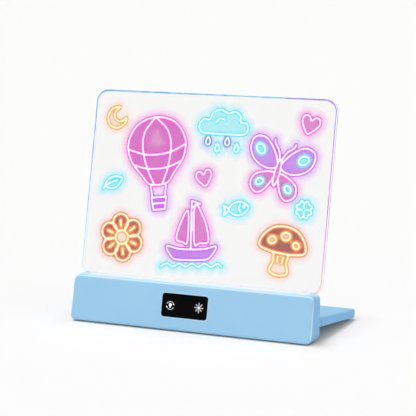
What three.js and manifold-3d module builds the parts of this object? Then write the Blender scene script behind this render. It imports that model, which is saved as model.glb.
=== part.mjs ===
// An edge-lit drawing board for a desk: a clear acrylic sheet stands in a soft-edged plastic bar that holds
// the lights, the battery and two touch keys, and a plate folds out behind the bar to keep it from tipping.
// Millimetres, +Z up, +X along the bar, the drawing side faces -Y.

import * as THREE from 'three';
import { mergeVertices } from 'three/addons/utils/BufferGeometryUtils.js';
import Module from 'manifold-3d';

const wasm = await Module();
wasm.setup();

// The bar
const barLength = 230;
const barHeight = 40;
const barDepth = 21.5;
const frontLean = 12.2;
const backLean = 6;
const endDraft = 1.5;
const barCorner = 5.5;
const barEdge = 2.2;
const barWall = 2.2;
const coverWall = 1.8;
const gap = 0.3;
const overrun = 30;
const fuse = 0.5;

// The acrylic sheet
const panelInset = 0.5;
const panelOffset = 1.6;
const panelRise = 164.5;
const panelThickness = 5;
const panelCorner = 11;
const shoulderDepth = 1.5;
const tongueDepth = 14.3;

// The light channel under the sheet's lower edge
const channelWall = 1;
const channelFloor = 1.2;
const channelGrip = 1.5;
const channelEndBlock = 4;
const ledCount = 8;
const ledEndInset = 15.5;
const ledLength = 3.5;
const ledWidth = 2.8;
const ledHeight = 1.3;
const ledAirGap = 0.8;
const ledBoardThickness = 1;
const lightLeadInset = 8;

// The touch window and the board behind it
const windowWidth = 42.5;
const windowHeight = 19.5;
const windowCorner = 2;
const windowThickness = 1.2;
const windowCentreX = -3.85;
const windowFromTop = 19;
const keySpread = 13.65;
const springRadius = 3.4;
const springWireRadius = 0.3;
const springTurns = 2.5;
const springHoleRadius = 4.6;
const mainBoardWidth = 64;
const mainBoardThickness = 1.2;
const mainBoardBehindFace = 5.2;
const mainBoardFoot = 9.5;
const mainBoardHeadroom = 7.2;
const postRadius = 2;
const postPegRadius = 1;
const postPegProud = 0.8;
const postInset = 2.8;
const chipSide = 7;
const chipHeight = 1;
const socketWidth = 6;
const socketHeight = 5;
const socketReach = 4.5;
const socketFoot = 1;
const chargeSocketInset = 7.8;
const lightSocketInset = 19.8;
const batterySocketInset = 10.2;

// The battery and its saddles
const batteryLength = 50;
const batteryNubRadius = 2.6;
const batteryNubHeight = 1;
const batteryBesideBoard = 1.8;
const batteryFloorClearance = 2.1;
const batteryTopClearance = 1.4;
const ribThickness = 1.6;
const saddleInset = 8;
const leftRibInset = 14;
const rightRibInset = 17;
const leadRibInsets = [39, 63];
const leadWindowLow = 5;
const leadWindowHigh = 17.5;
const leadWindowFront = 9;
const leadWindowBack = 18.3;

// The charging socket in the left end
const usbWidth = 8.9;
const usbHeight = 3.2;
const usbLength = 7.3;
const usbShell = 0.4;
const usbMouthDepth = 6.2;
const usbTongueThickness = 0.7;
const usbTongueWidth = 6.6;
const usbTongueShort = 0.6;
const usbSetback = 0.5;
const usbHoleMargin = 0.4;
const usbRoundShare = 0.9;
const usbBoardLength = 14;
const usbBoardWidth = 12;
const usbBoardThickness = 1.2;

// The internal leads
const leadRadius = 0.8;
const batteryLeadRadius = 0.6;
const batteryLeadSpacing = 2.4;
const batteryLeadBehind = 2;
const batteryLeadOffset = 3;
const leadStraight = 1.6;
const lightLeadStraight = 3;
const leadStep = 3;
const leadHoleMargin = 0.8;

// The screws of the bar's back cover
const screwInset = 5.8;
const screwLowUp = 7;
const screwFromTop = 7;
const screwMiddleUp = 4.9;
const screwMiddleReach = 12;
const bossRadius = 2.9;
const screwShankRadius = 1.2;
const screwShankLength = 9;
const screwHeadRadius = 2.1;
const screwHeadHeight = 1.1;
const screwHeadSink = 0.3;
const screwPad = 1.4;
const screwPadRadius = 3.4;
const screwCrownShare = 0.75;

// The rubber feet of the bar
const barFootLength = 26;
const barFootWidth = 11;
const barFootCorner = 2;
const barFootRecess = 0.8;
const footProud = 0.6;
const barFootInset = 35;
const barFootSetback = 4.5;

// The folding plate
const standInset = 1.8;
const standThickness = 8.2;
const standReach = 84.3;
const standTipRadius = 2.6;
const standEdge = 1.6;
const standTipClearance = 1.35;
const pivotUp = 14.5;
const pivotClearance = 0.6;
const standTopWall = 1.8;
const standRim = 3.4;
const standCoverThickness = 1.6;
const standKnuckleBlock = 6.4;
const standRibThickness = 1.6;
const standRibCount = 3;
const standScrewInset = 18;
const standScrewNear = 14;
const standScrewFromTip = 16.3;
const standBossRadius = 2.6;
const standScrewPad = 1.1;
const standScrewHeadRadius = 2;
const standScrewHeadHeight = 0.9;
const standScrewShankRadius = 1;
const standScrewShankLength = 4.2;

// The hinge between bar and plate
const earInset = 33.2;
const earWidth = 14;
const earRadius = 3.6;
const earRootSink = 1;
const rodRadius = 1.25;
const plugLength = 2.4;
const plugSink = 0.2;
const washerThickness = 0.5;
const washerRadius = 3.3;
const notchBack = 0.6;
const stopLugOffset = 18;
const stopLugWidth = 8;
const stopLugReach = 3;
const stopLugThickness = 2.6;

// The rubber feet of the plate
const standFootLength = 20;
const standFootWidth = 7;
const standFootSink = 0.6;
const standFootFromTip = 8.5;
const standFootFromEnd = 22;

// How finely round shapes are cut
const cornerSteps = 4;
const edgeSteps = 3;
const roundSides = 12;
const boreSides = 16;
const screwSides = 8;
const leadSides = 8;
const springSteps = 24;
const springSides = 5;

const rad = THREE.MathUtils.degToRad;
const lean = rad(frontLean);
const tilt = rad(backLean);
const draft = rad(endDraft);
const turnRound = Math.PI * 2;
const quarter = Math.PI / 2;
const bothSides = [[-1, 'left'], [1, 'right']];
const barHalf = barLength / 2;
const barFootX = barHalf - barFootInset;
const knuckleRadius = standThickness / 2;
const standHalf = barHalf - standInset;
const earX = standHalf - earInset;

// Solids: joining and cutting closed meshes

function solidOf(geometry) {
  const bare = geometry.clone();
  bare.deleteAttribute('normal');
  bare.deleteAttribute('uv');
  const merged = mergeVertices(bare);
  const vertProperties = new Float32Array(merged.attributes.position.array);
  const triVerts = new Uint32Array(merged.index.array);
  return new wasm.Manifold(new wasm.Mesh({ numProp: 3, vertProperties, triVerts }));
}

function geometryOf(solid) {
  const mesh = solid.getMesh();
  const corners = new Float32Array(mesh.vertProperties);
  const geometry = new THREE.BufferGeometry();
  geometry.setAttribute('position', new THREE.BufferAttribute(corners, 3));
  geometry.setIndex(new THREE.BufferAttribute(new Uint32Array(mesh.triVerts), 1));
  geometry.computeVertexNormals();
  return geometry;
}

const join = (first, ...rest) => rest.reduce((sum, solid) => sum.add(solid), first);
const cut = (first, ...rest) => rest.reduce((sum, solid) => sum.subtract(solid), first);
const meet = (first, ...rest) => rest.reduce((sum, solid) => sum.intersect(solid), first);

// Frames: each one leans about X, and its own +Y points back and its +Z up along the leaning face

function leaningFrame(y, z, angle, x = 0) {
  const frame = new THREE.Group();
  frame.position.set(x, y, z);
  frame.rotation.x = -angle;
  frame.updateMatrix();
  return frame;
}

const frontInnerAt = (z) => z * Math.tan(lean) + barWall / Math.cos(lean);
const backAt = (z) => barDepth + z * Math.tan(tilt);
const seamAt = (z) => backAt(z) - (coverWall + gap) / Math.cos(tilt);
const panelFaceY = seamAt(barHeight) - panelThickness / Math.cos(lean);

const frontFrame = leaningFrame(0, 0, lean);
const panelFrame = leaningFrame(panelFaceY, barHeight, lean, panelOffset);
const backFrame = leaningFrame(barDepth, 0, tilt);

// The plate turns about a point behind the bar, and drops until its tip is just clear of the surface
const pivotBehind = knuckleRadius + pivotClearance;
const pivot = new THREE.Vector3(0, pivotBehind, pivotUp).applyMatrix4(backFrame.matrix);
const tipDistance = Math.hypot(standReach, knuckleRadius);
const tipFall = pivot.z + footProud - standTipClearance;
const standDrop = Math.asin(tipFall / tipDistance) - Math.atan2(knuckleRadius, standReach);
const standFrame = leaningFrame(pivot.y, pivot.z, standDrop);

const solidIn = (frame) => (geometry) => solidOf(geometry.clone().applyMatrix4(frame.matrix));
const onFront = solidIn(frontFrame);
const onPanel = solidIn(panelFrame);
const onBack = solidIn(backFrame);
const onStand = solidIn(standFrame);

// Basic shapes

function block(x0, x1, y0, y1, z0, z1) {
  const geometry = new THREE.BoxGeometry(x1 - x0, y1 - y0, z1 - z0);
  return geometry.translate((x0 + x1) / 2, (y0 + y1) / 2, (z0 + z1) / 2);
}

const beside = (x, width) => [x - width / 2, x + width / 2];

function roundedOutline(x0, x1, y0, y1, radius) {
  const shape = new THREE.Shape();
  shape.moveTo(x0 + radius, y0);
  shape.lineTo(x1 - radius, y0);
  shape.absarc(x1 - radius, y0 + radius, radius, -quarter, 0, false);
  shape.lineTo(x1, y1 - radius);
  shape.absarc(x1 - radius, y1 - radius, radius, 0, quarter, false);
  shape.lineTo(x0 + radius, y1);
  shape.absarc(x0 + radius, y1 - radius, radius, quarter, 2 * quarter, false);
  shape.lineTo(x0, y0 + radius);
  shape.absarc(x0 + radius, y0 + radius, radius, 2 * quarter, 3 * quarter, false);
  return shape;
}

function extruded(shape, depth, edge) {
  return new THREE.ExtrudeGeometry(shape, {
    depth: depth - 2 * edge,
    steps: 1,
    curveSegments: cornerSteps,
    bevelEnabled: edge > 0,
    bevelThickness: edge,
    bevelSize: edge,
    bevelOffset: -edge,
    bevelSegments: edgeSteps,
  });
}

// An outline drawn in X and Z, given depth along Y from y0 to y1
function standing(shape, y0, y1, edge = 0) {
  return extruded(shape, y1 - y0, edge).rotateX(quarter).translate(0, y1 - edge, 0);
}

// An outline drawn in X and Y, given height along Z from z0 to z1
function lying(shape, z0, z1) {
  return extruded(shape, z1 - z0, 0).translate(0, 0, z0);
}

// An outline drawn in Y and Z, given length along X from x0 to x1
function lengthwise(shape, x0, x1, edge = 0) {
  return extruded(shape, x1 - x0, edge).rotateX(quarter).rotateZ(quarter).translate(x0 + edge, 0, 0);
}

function rodAlongX(radius, x0, x1, y, z, sides = roundSides) {
  const geometry = new THREE.CylinderGeometry(radius, radius, x1 - x0, sides);
  return geometry.rotateZ(quarter).translate((x0 + x1) / 2, y, z);
}

function rodAlongY(radius, x, y0, y1, z, sides = roundSides) {
  const geometry = new THREE.CylinderGeometry(radius, radius, y1 - y0, sides);
  return geometry.translate(x, (y0 + y1) / 2, z);
}

function rodAlongZ(radius, x, y, z0, z1, sides = roundSides) {
  const geometry = new THREE.CylinderGeometry(radius, radius, z1 - z0, sides);
  return geometry.rotateX(quarter).translate(x, y, (z0 + z1) / 2);
}

// A screw on the Y axis: its head's underside at 0, the head towards +Y and the pointed shank towards -Y
function screw(headRadius, headHeight, shankRadius, shankLength) {
  const profile = [
    [0, -shankLength],
    [shankRadius, shankRadius - shankLength],
    [shankRadius, 0],
    [headRadius, 0],
    [headRadius, headHeight / 2],
    [headRadius * screwCrownShare, headHeight],
    [0, headHeight],
  ];
  return new THREE.LatheGeometry(profile.map(([r, y]) => new THREE.Vector2(r, y)), screwSides);
}

// A round wire or lead that follows a curve in space
function wireAlong(path, radius, sides, steps) {
  const section = new THREE.Shape();
  for (let i = 0; i < sides; i += 1) {
    const angle = (i / sides) * turnRound;
    const corner = [radius * Math.cos(angle), radius * Math.sin(angle)];
    if (i === 0) section.moveTo(...corner);
    else section.lineTo(...corner);
  }
  section.closePath();
  return new THREE.ExtrudeGeometry(section, { steps, extrudePath: path, bevelEnabled: false });
}

function lead(points, radius) {
  const route = new THREE.CatmullRomCurve3(points.map((point) => new THREE.Vector3(...point)));
  return wireAlong(route, radius, leadSides, Math.ceil(route.getLength() / leadStep));
}

// The bar's outer form: a rounded slab whose front leans back, whose back leans less, and whose ends draw in
function barForm(inset, front, back, edge = 0) {
  const half = barHalf - inset;
  const outline = roundedOutline(-half, half, inset, barHeight - inset, barCorner - inset);
  const geometry = standing(outline, front, back, edge);
  const place = geometry.attributes.position;
  for (let i = 0; i < place.count; i += 1) {
    const z = place.getZ(i);
    const slope = place.getY(i) < barDepth / 2 ? lean : tilt;
    place.setY(i, place.getY(i) + z * Math.tan(slope));
    place.setX(i, place.getX(i) * (1 - z * Math.tan(draft) / barHalf));
  }
  return solidOf(geometry);
}

// The sheet's outline: round corners all round and a narrower tongue that goes down into the bar
const panelHalf = barHalf - panelInset;
const tongueHalf = panelHalf - panelCorner;

function panelOutline(grow = 0) {
  const half = panelHalf + grow;
  const top = panelRise + grow;
  const radius = panelCorner + grow;
  const shoulder = -shoulderDepth - grow;
  const tongue = tongueHalf + grow;
  const shape = new THREE.Shape();
  shape.moveTo(-tongue, -tongueDepth - grow);
  shape.lineTo(tongue, -tongueDepth - grow);
  shape.lineTo(tongue, shoulder);
  shape.absarc(half - radius, shoulder + radius, radius, -quarter, 0, false);
  shape.lineTo(half, top - radius);
  shape.absarc(half - radius, top - radius, radius, 0, quarter, false);
  shape.lineTo(radius - half, top);
  shape.absarc(radius - half, top - radius, radius, quarter, 2 * quarter, false);
  shape.lineTo(-half, shoulder + radius);
  shape.absarc(radius - half, shoulder + radius, radius, 2 * quarter, 3 * quarter, false);
  shape.lineTo(-tongue, -tongueDepth - grow);
  return shape;
}

// Places in the bar that several pieces share

const barFar = barHalf + overrun;
const panelSlot = onPanel(standing(panelOutline(gap), -gap, panelThickness + gap));
const ledTop = -tongueDepth - ledAirGap;
const ledFoot = ledTop - ledHeight;
const ledBoardTop = ledFoot - gap;
const ledBoardFoot = ledBoardTop - ledBoardThickness;
const channelInside = ledBoardFoot - gap;
const channelFoot = channelInside - channelFloor;
const channelTop = channelGrip - tongueDepth;
const channelFront = -gap - channelWall;
const channelBack = panelThickness + gap + channelWall;
const channelWellHalf = tongueHalf - channelEndBlock;
const lightLeadX = -(tongueHalf - lightLeadInset);
const lightLeadIn = panelThickness / 2;

const windowCentreUp = barHeight / Math.cos(lean) - windowFromTop;
const mainBoardLeft = windowCentreX - mainBoardWidth / 2;
const mainBoardRight = windowCentreX + mainBoardWidth / 2;
const mainBoardTop = (barHeight - barWall) / Math.cos(lean) - mainBoardHeadroom;
const mainBoardBack = mainBoardBehindFace + mainBoardThickness;
const postXs = [mainBoardLeft + postInset, mainBoardRight - postInset];
const postUps = [mainBoardFoot + postInset, mainBoardTop - postInset];
const posts = postXs.flatMap((x) => postUps.map((up) => [x, up]));
const keyXs = [windowCentreX - keySpread, windowCentreX + keySpread];

// The battery is the largest cell that fits between the floor and the channel, and between front and cover
const channelLowest = barHeight + channelFoot * Math.cos(lean) - channelBack * Math.sin(lean);
const batteryFloor = barWall + batteryFloorClearance;
const fitsUnder = (channelLowest - batteryTopClearance - batteryFloor) / 2;
const fitsBetween = (seamAt(batteryFloor) - frontInnerAt(batteryFloor)) / 2 - 2 * gap;
const batteryRadius = Math.min(fitsUnder, fitsBetween);
const batteryStartX = mainBoardRight + batteryBesideBoard;
const batteryEndX = batteryStartX + batteryLength;
const batteryZ = batteryFloor + batteryRadius;
const batteryY = (frontInnerAt(batteryZ) + seamAt(batteryZ)) / 2;
const batteryRoom = batteryRadius + gap;
const saddleXs = [batteryStartX + saddleInset, batteryEndX - saddleInset];
const leadRibXs = leadRibInsets.map((inset) => inset - barHalf);
const endRibXs = [leftRibInset - barHalf, barHalf - rightRibInset];

const bossRise = barDepth * Math.sin(tilt) + screwLowUp * Math.cos(tilt) + bossRadius;
const usbBoardZ = bossRise + gap;
const usbBoardTop = usbBoardZ + usbBoardThickness;
const usbZ = usbBoardTop + usbHeight / 2;
const usbY = frontInnerAt(usbBoardTop) + gap + usbBoardWidth / 2;
const usbEndX = usbZ * Math.tan(draft) - barHalf;
const usbMouthX = usbEndX + usbSetback;
const usbBoardX = usbEndX + barWall + gap;

const screwX = barHalf - screwInset;
const screwHighUp = barHeight - screwFromTop;
const cornerScrews = [screwLowUp, screwHighUp].flatMap((up) => [[-screwX, up], [screwX, up]]);
const middleScrew = [0, screwMiddleUp];
const coverScrews = [...cornerScrews, middleScrew];
const padFoot = coverWall + screwPad;
const bossBack = -padFoot - gap;
const headSeat = -screwHeadSink - screwHeadHeight;

function windowOutline(grow = 0) {
  const [left, right] = beside(windowCentreX, windowWidth + 2 * grow);
  const [low, high] = beside(windowCentreUp, windowHeight + 2 * grow);
  return roundedOutline(left, right, low, high, windowCorner + grow);
}

function usbOutline(grow = 0) {
  const [front, back] = beside(usbY, usbWidth + 2 * grow);
  const [low, high] = beside(usbZ, usbHeight + 2 * grow);
  return roundedOutline(front, back, low, high, (usbHeight / 2 + grow) * usbRoundShare);
}

function barFootOutline(side, grow = 0) {
  const [left, right] = beside(side * barFootX, barFootLength + 2 * grow);
  const back = barFootSetback + barFootWidth + grow;
  return roundedOutline(left, right, barFootSetback - grow, back, barFootCorner + grow);
}

// The front housing's upright ribs: two carry the battery and two have a window for the leads
function housingRibs(within) {
  const rib = (x) => {
    return meet(within, solidOf(block(x, x + ribThickness, 0, backAt(barHeight), 0, barHeight)));
  };
  const leadWindow = (x) => solidOf(block(
    x - fuse, x + ribThickness + fuse, leadWindowFront, leadWindowBack, leadWindowLow, leadWindowHigh,
  ));
  const leadRibs = leadRibXs.map((x) => cut(rib(x), leadWindow(x)));

  const back = backAt(barHeight);
  const shelf = channelFoot - gap;
  const channelRoom = onPanel(block(-barFar, barFar, channelFront - gap, overrun, shelf, overrun));
  const bore = rodAlongX(batteryRoom, batteryStartX - gap, batteryEndX + gap, batteryY, batteryZ, boreSides);
  const [boreLow, boreHigh] = beside(batteryZ, 2 * batteryRoom);
  const wayOut = block(batteryStartX, batteryEndX, batteryY, back, boreLow, boreHigh);
  const [usbFront, usbBack] = beside(usbY, usbBoardWidth + 2 * gap);
  const usbRight = usbBoardX + usbBoardLength + gap;
  const usbRoom = block(usbBoardX - gap, usbRight, usbFront, usbBack, usbBoardZ - gap, usbBoardTop + gap);
  const rooms = [channelRoom, solidOf(bore), solidOf(wayOut), solidOf(usbRoom)];
  return [...endRibXs.map(rib), ...saddleXs.map(rib), ...leadRibs].map((one) => cut(one, ...rooms));
}

// The bosses that the cover's screws go into: four reach the front wall, and the middle one stands on a web
function housingBosses(within) {
  const corners = cornerScrews.map(([x, up]) => {
    return meet(within, onBack(rodAlongY(bossRadius, x, -overrun, bossBack, up)));
  });
  const [x, up] = middleScrew;
  const middle = onBack(rodAlongY(bossRadius, x, -screwMiddleReach, bossBack, up));
  const [webLeft, webRight] = beside(x, 2 * ribThickness);
  const web = onBack(block(webLeft, webRight, -screwMiddleReach, bossBack, fuse, up));
  return [...corners, middle, web];
}

// The bar's front housing: front, ends, top and floor in one deep shell, with bosses, ribs and posts inside
function frontHousing() {
  const outer = barForm(0, 0, barDepth, barEdge);
  const cavity = barForm(barWall, barWall / Math.cos(lean), barDepth + overrun);
  const midWall = barForm(barWall / 2, barWall / 2, barDepth + overrun);
  const boardPosts = posts.flatMap(([x, up]) => [
    onFront(rodAlongY(postRadius, x, barWall - fuse, mainBoardBehindFace - gap, up)),
    onFront(rodAlongY(postPegRadius, x, barWall, mainBoardBack + postPegProud, up)),
  ]);
  const inside = [...housingRibs(midWall), ...housingBosses(midWall), ...boardPosts];

  const seam = coverWall + gap;
  const behindSeam = onBack(block(-barFar, barFar, -seam, overrun, -overrun, barHeight + overrun));
  const boreEnd = headSeat - screwShankLength - gap;
  const bores = coverScrews.map(([x, up]) => onBack(rodAlongY(screwShankRadius + gap, x, boreEnd, 0, up)));
  const pocketFloor = windowThickness + gap;
  const pocket = onFront(standing(windowOutline(gap), -overrun, pocketFloor));
  const keyHoles = keyXs.map((x) => onFront(rodAlongY(
    springHoleRadius, x, pocketFloor - fuse, barWall + fuse, windowCentreUp, boreSides,
  )));
  const usbHole = solidOf(lengthwise(usbOutline(usbHoleMargin), -barFar, usbBoardX + fuse));
  const recesses = bothSides.map(([side]) => {
    return solidOf(lying(barFootOutline(side, gap), -overrun, barFootRecess));
  });
  const shell = join(cut(outer, cavity), ...inside);
  return cut(shell, behindSeam, panelSlot, ...bores, pocket, ...keyHoles, usbHole, ...recesses);
}

// An ear of the cover, with the bore for the plate's hinge rod at its round end
function hingeEar(x) {
  const [left, right] = beside(x, earWidth);
  const [low, high] = beside(pivotUp, 2 * earRadius);
  return join(
    onBack(block(left, right, -earRootSink, pivotBehind, low, high)),
    onBack(rodAlongX(earRadius, left, right, pivotBehind, pivotUp, boreSides)),
  );
}

// A lug under the plate's root that stops it where it stands open
function stopLug(x) {
  const [left, right] = beside(x, stopLugWidth);
  const top = -knuckleRadius - gap;
  return onStand(block(left, right, -pivotBehind - earRootSink, stopLugReach, top - stopLugThickness, top));
}

// The bar's back cover, with the ears that carry the hinge rod and the lugs that stop the plate
function rearCover() {
  const outer = barForm(0, 0, barDepth, barEdge);
  const inside = barForm(barWall + gap, barWall / Math.cos(lean), barDepth + overrun);
  const skin = onBack(block(-barFar, barFar, -coverWall, overrun, -overrun, barHeight + overrun));
  const pads = coverScrews.map(([x, up]) => {
    return meet(inside, onBack(rodAlongY(screwPadRadius, x, -padFoot, -coverWall + fuse, up)));
  });
  const ears = bothSides.map(([side]) => hingeEar(side * earX));
  const lugs = bothSides.map(([side]) => stopLug(side * (earX - stopLugOffset)));
  const screwHoles = coverScrews.flatMap(([x, up]) => [
    onBack(rodAlongY(screwShankRadius + gap, x, -overrun, overrun, up)),
    onBack(rodAlongY(screwHeadRadius + gap, x, headSeat - gap, overrun, up, boreSides)),
  ]);
  const rodBore = onStand(rodAlongX(rodRadius + gap, -standHalf, standHalf, 0, 0));
  const body = join(meet(outer, skin), ...pads, ...ears, ...lugs);
  return cut(body, ...screwHoles, rodBore, panelSlot);
}

// The white channel round the sheet's lower edge, with a floor for the light board
function lightChannel() {
  const front = -gap;
  const back = panelThickness + gap;
  const body = block(-tongueHalf, tongueHalf, channelFront, channelBack, channelFoot, channelTop);
  const seat = block(-barFar, barFar, front, back, -tongueDepth - gap, overrun);
  const well = block(-channelWellHalf, channelWellHalf, front, back, channelInside, overrun);
  const holeRadius = leadRadius + leadHoleMargin;
  const hole = rodAlongZ(holeRadius, lightLeadX, lightLeadIn, channelFoot - fuse, channelInside + fuse);
  return cut(solidOf(body), solidOf(seat), solidOf(well), solidOf(hole));
}

function mainBoard() {
  const [front, back] = [mainBoardBehindFace, mainBoardBack];
  const board = solidOf(block(mainBoardLeft, mainBoardRight, front, back, mainBoardFoot, mainBoardTop));
  const holes = posts.map(([x, up]) => {
    return solidOf(rodAlongY(postPegRadius + gap, x, front - fuse, back + fuse, up));
  });
  return cut(board, ...holes);
}

// The centre line of a coil spring between a touch key's place on the window and the board
class Coil extends THREE.Curve {
  constructor(x, from, to, up) {
    super();
    this.centre = new THREE.Vector3(x, from, up);
    this.rise = to - from;
  }

  getPoint(t, target = new THREE.Vector3()) {
    const angle = t * springTurns * turnRound;
    const across = springRadius * Math.cos(angle);
    const up = springRadius * Math.sin(angle);
    return target.set(across, t * this.rise, up).add(this.centre);
  }
}

function touchSpring(x) {
  const from = windowThickness + gap + springWireRadius;
  const to = mainBoardBehindFace - gap - springWireRadius;
  return wireAlong(new Coil(x, from, to, windowCentreUp), springWireRadius, springSides, springSteps);
}

function batteryCell() {
  const canEnd = batteryEndX - batteryNubHeight;
  const can = rodAlongX(batteryRadius, batteryStartX, canEnd, batteryY, batteryZ, boreSides);
  const nub = rodAlongX(batteryNubRadius, canEnd - fuse, batteryEndX, batteryY, batteryZ);
  return join(solidOf(can), solidOf(nub));
}

function usbSocket() {
  const deep = usbMouthX + usbMouthDepth;
  const body = lengthwise(usbOutline(), usbMouthX, usbMouthX + usbLength);
  const mouth = lengthwise(usbOutline(-usbShell), usbMouthX - fuse, deep);
  const [front, back] = beside(usbY, usbTongueWidth);
  const [low, high] = beside(usbZ, usbTongueThickness);
  const tongue = block(usbMouthX + usbTongueShort, deep + fuse, front, back, low, high);
  return join(cut(solidOf(body), solidOf(mouth)), solidOf(tongue));
}

function usbBoard() {
  const [front, back] = beside(usbY, usbBoardWidth);
  return block(usbBoardX, usbBoardX + usbBoardLength, front, back, usbBoardZ, usbBoardTop);
}

// The folding plate, in its own frame: the hinge rod lies along X through the origin, the tip is at +Y

const notchWidth = earWidth + 2 * (gap + washerThickness + gap);
const standOpeningHalf = standHalf - standRim;
const standOpeningTip = standReach - standRim;
const standCeiling = knuckleRadius - standTopWall;
const standCoverTop = standCoverThickness - knuckleRadius;
const standScrewX = standHalf - standScrewInset;
const standScrewFar = standReach - standScrewFromTip;
const standScrews = [standScrewNear, standScrewFar].flatMap((y) => [[-standScrewX, y], [standScrewX, y]]);
const standPadTop = standCoverTop + standScrewPad;
const standHeadSeat = standScrewHeadHeight + screwHeadSink - knuckleRadius;
const standFootX = standHalf - standFootFromEnd;
const standFootY = standReach - standFootFromTip;

function plateProfile() {
  const shape = new THREE.Shape();
  const tip = standReach - standTipRadius;
  const high = knuckleRadius - standTipRadius;
  shape.moveTo(0, -knuckleRadius);
  shape.lineTo(tip, -knuckleRadius);
  shape.absarc(tip, -high, standTipRadius, -quarter, 0, false);
  shape.lineTo(standReach, high);
  shape.absarc(tip, high, standTipRadius, 0, quarter, false);
  shape.lineTo(0, knuckleRadius);
  shape.absarc(0, 0, knuckleRadius, quarter, 2 * quarter, false);
  shape.absarc(0, 0, knuckleRadius, 2 * quarter, 3 * quarter, false);
  return shape;
}

// The plate's upper shell: skin, rim and knuckle in one, hollow below, with ribs and screw bosses
function standTopShell() {
  const half = standOpeningHalf;
  const tip = standOpeningTip;
  const plate = solidOf(lengthwise(plateProfile(), -standHalf, standHalf, standEdge));
  const well = solidOf(block(-half, half, standKnuckleBlock, tip, -overrun, standCeiling));
  const notches = bothSides.map(([side]) => {
    const [left, right] = beside(side * earX, notchWidth);
    return solidOf(block(left, right, -overrun, earRadius + notchBack, -overrun, overrun));
  });
  const ribs = Array.from({ length: standRibCount }, (_, i) => {
    const [left, right] = beside((2 * (i + 1) / (standRibCount + 1) - 1) * half, standRibThickness);
    const foot = standCoverTop + gap;
    return solidOf(block(left, right, standKnuckleBlock - fuse, tip + fuse, foot, standCeiling + fuse));
  });
  const bosses = standScrews.map(([x, y]) => {
    return solidOf(rodAlongZ(standBossRadius, x, y, standPadTop + gap, standCeiling + fuse));
  });
  const bores = standScrews.map(([x, y]) => {
    return solidOf(rodAlongZ(standScrewShankRadius + gap, x, y, standPadTop, standCeiling));
  });
  const rodBore = solidOf(rodAlongX(rodRadius + gap, -standHalf - fuse, standHalf + fuse, 0, 0));
  return cut(join(cut(plate, well), ...ribs, ...bosses), ...notches, rodBore, ...bores);
}

function standBottomCover() {
  const half = standOpeningHalf - gap;
  const near = standKnuckleBlock + gap;
  const sheet = solidOf(block(-half, half, near, standOpeningTip - gap, -knuckleRadius, standCoverTop));
  const pads = standScrews.map(([x, y]) => {
    return solidOf(rodAlongZ(standBossRadius, x, y, standCoverTop - fuse, standPadTop));
  });
  const holes = standScrews.flatMap(([x, y]) => [
    solidOf(rodAlongZ(standScrewShankRadius + gap, x, y, -overrun, overrun)),
    solidOf(rodAlongZ(standScrewHeadRadius + gap, x, y, -overrun, standHeadSeat + gap, boreSides)),
  ]);
  const recesses = bothSides.map(([side]) => {
    const [left, right] = beside(side * standFootX, standFootLength + 2 * gap);
    const [front, back] = beside(standFootY, standFootWidth + 2 * gap);
    return solidOf(block(left, right, front, back, -overrun, standFootSink - knuckleRadius));
  });
  return cut(join(sheet, ...pads), ...holes, ...recesses);
}

// A rubber wedge: its top lies in the cover's recess and its sole is level with the surface below
function standFoot(x) {
  const soleAt = (y) => (y * Math.sin(standDrop) - pivot.z - footProud) / Math.cos(standDrop);
  const [near, far] = beside(standFootY, standFootWidth);
  const [left, right] = beside(x, standFootLength);
  const seat = standFootSink - gap - knuckleRadius;
  const side = new THREE.Shape();
  side.moveTo(near, soleAt(near));
  side.lineTo(far, soleAt(far));
  side.lineTo(far, seat);
  side.lineTo(near, seat);
  side.closePath();
  return lengthwise(side, left, right);
}

function frictionWasher(x) {
  const [left, right] = beside(x, washerThickness);
  const ring = solidOf(rodAlongX(washerRadius, left, right, 0, 0, boreSides));
  const hole = solidOf(rodAlongX(rodRadius + gap, left - fuse, right + fuse, 0, 0));
  return cut(ring, hole);
}

// Finishes, by what each piece is made of

const finish = (color, roughness, metalness = 0) => {
  return new THREE.MeshStandardMaterial({ color, roughness, metalness });
};
const bluePlastic = finish('#9fcdec', 0.45);
const blackGloss = finish('#0b0b0b', 0.12);
const acrylic = finish('#f4f8fb', 0.05);
acrylic.transparent = true;
acrylic.opacity = 0.35;
const whitePlastic = finish('#f2f2ee', 0.5);
const boardGreen = finish('#1f5b3a', 0.55);
const boardWhite = finish('#eceee9', 0.5);
const ledBody = finish('#f5efcf', 0.35);
const steel = finish('#b9bdc2', 0.3, 1);
const springSteel = finish('#c9ccd0', 0.28, 1);
const batteryWrap = finish('#2f6fb3', 0.4);
const rubber = finish('#3b4046', 0.85);
const leadRed = finish('#b3261e', 0.5);
const leadBlack = finish('#1c1c1e', 0.5);
const leadWhite = finish('#e9e9e6', 0.5);
const chipBlack = finish('#17181a', 0.4);

function piece(name, geometry, material) {
  const mesh = new THREE.Mesh(geometry, material);
  mesh.name = name;
  return mesh;
}

const cutPiece = (name, solid, material) => piece(name, geometryOf(solid), material);

// The internal leads: each one ends straight behind its socket on the main board

const socketBack = mainBoardBack + gap + socketReach;
const socketUp = mainBoardFoot + socketFoot + socketHeight / 2;
const chargeSocketX = mainBoardLeft + chargeSocketInset;
const lightSocketX = mainBoardLeft + lightSocketInset;
const batterySocketX = mainBoardRight - batterySocketInset;
const redX = batterySocketX + batteryLeadSpacing / 2;
const blackX = batterySocketX - batteryLeadSpacing / 2;
const usbLeadX = usbBoardX + usbBoardLength + gap;
const usbLeadZ = (usbBoardZ + usbBoardTop) / 2;
const batteryLeadX = batteryStartX - gap;
const batteryLeadY = batteryY + batteryLeadBehind;
const redZ = batteryZ + batteryLeadOffset;
const blackZ = batteryZ - batteryLeadOffset;

function socketPort(x, behind = 0) {
  const port = new THREE.Vector3(x, socketBack + gap + behind, socketUp);
  return port.applyMatrix4(frontFrame.matrix).toArray();
}

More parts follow.
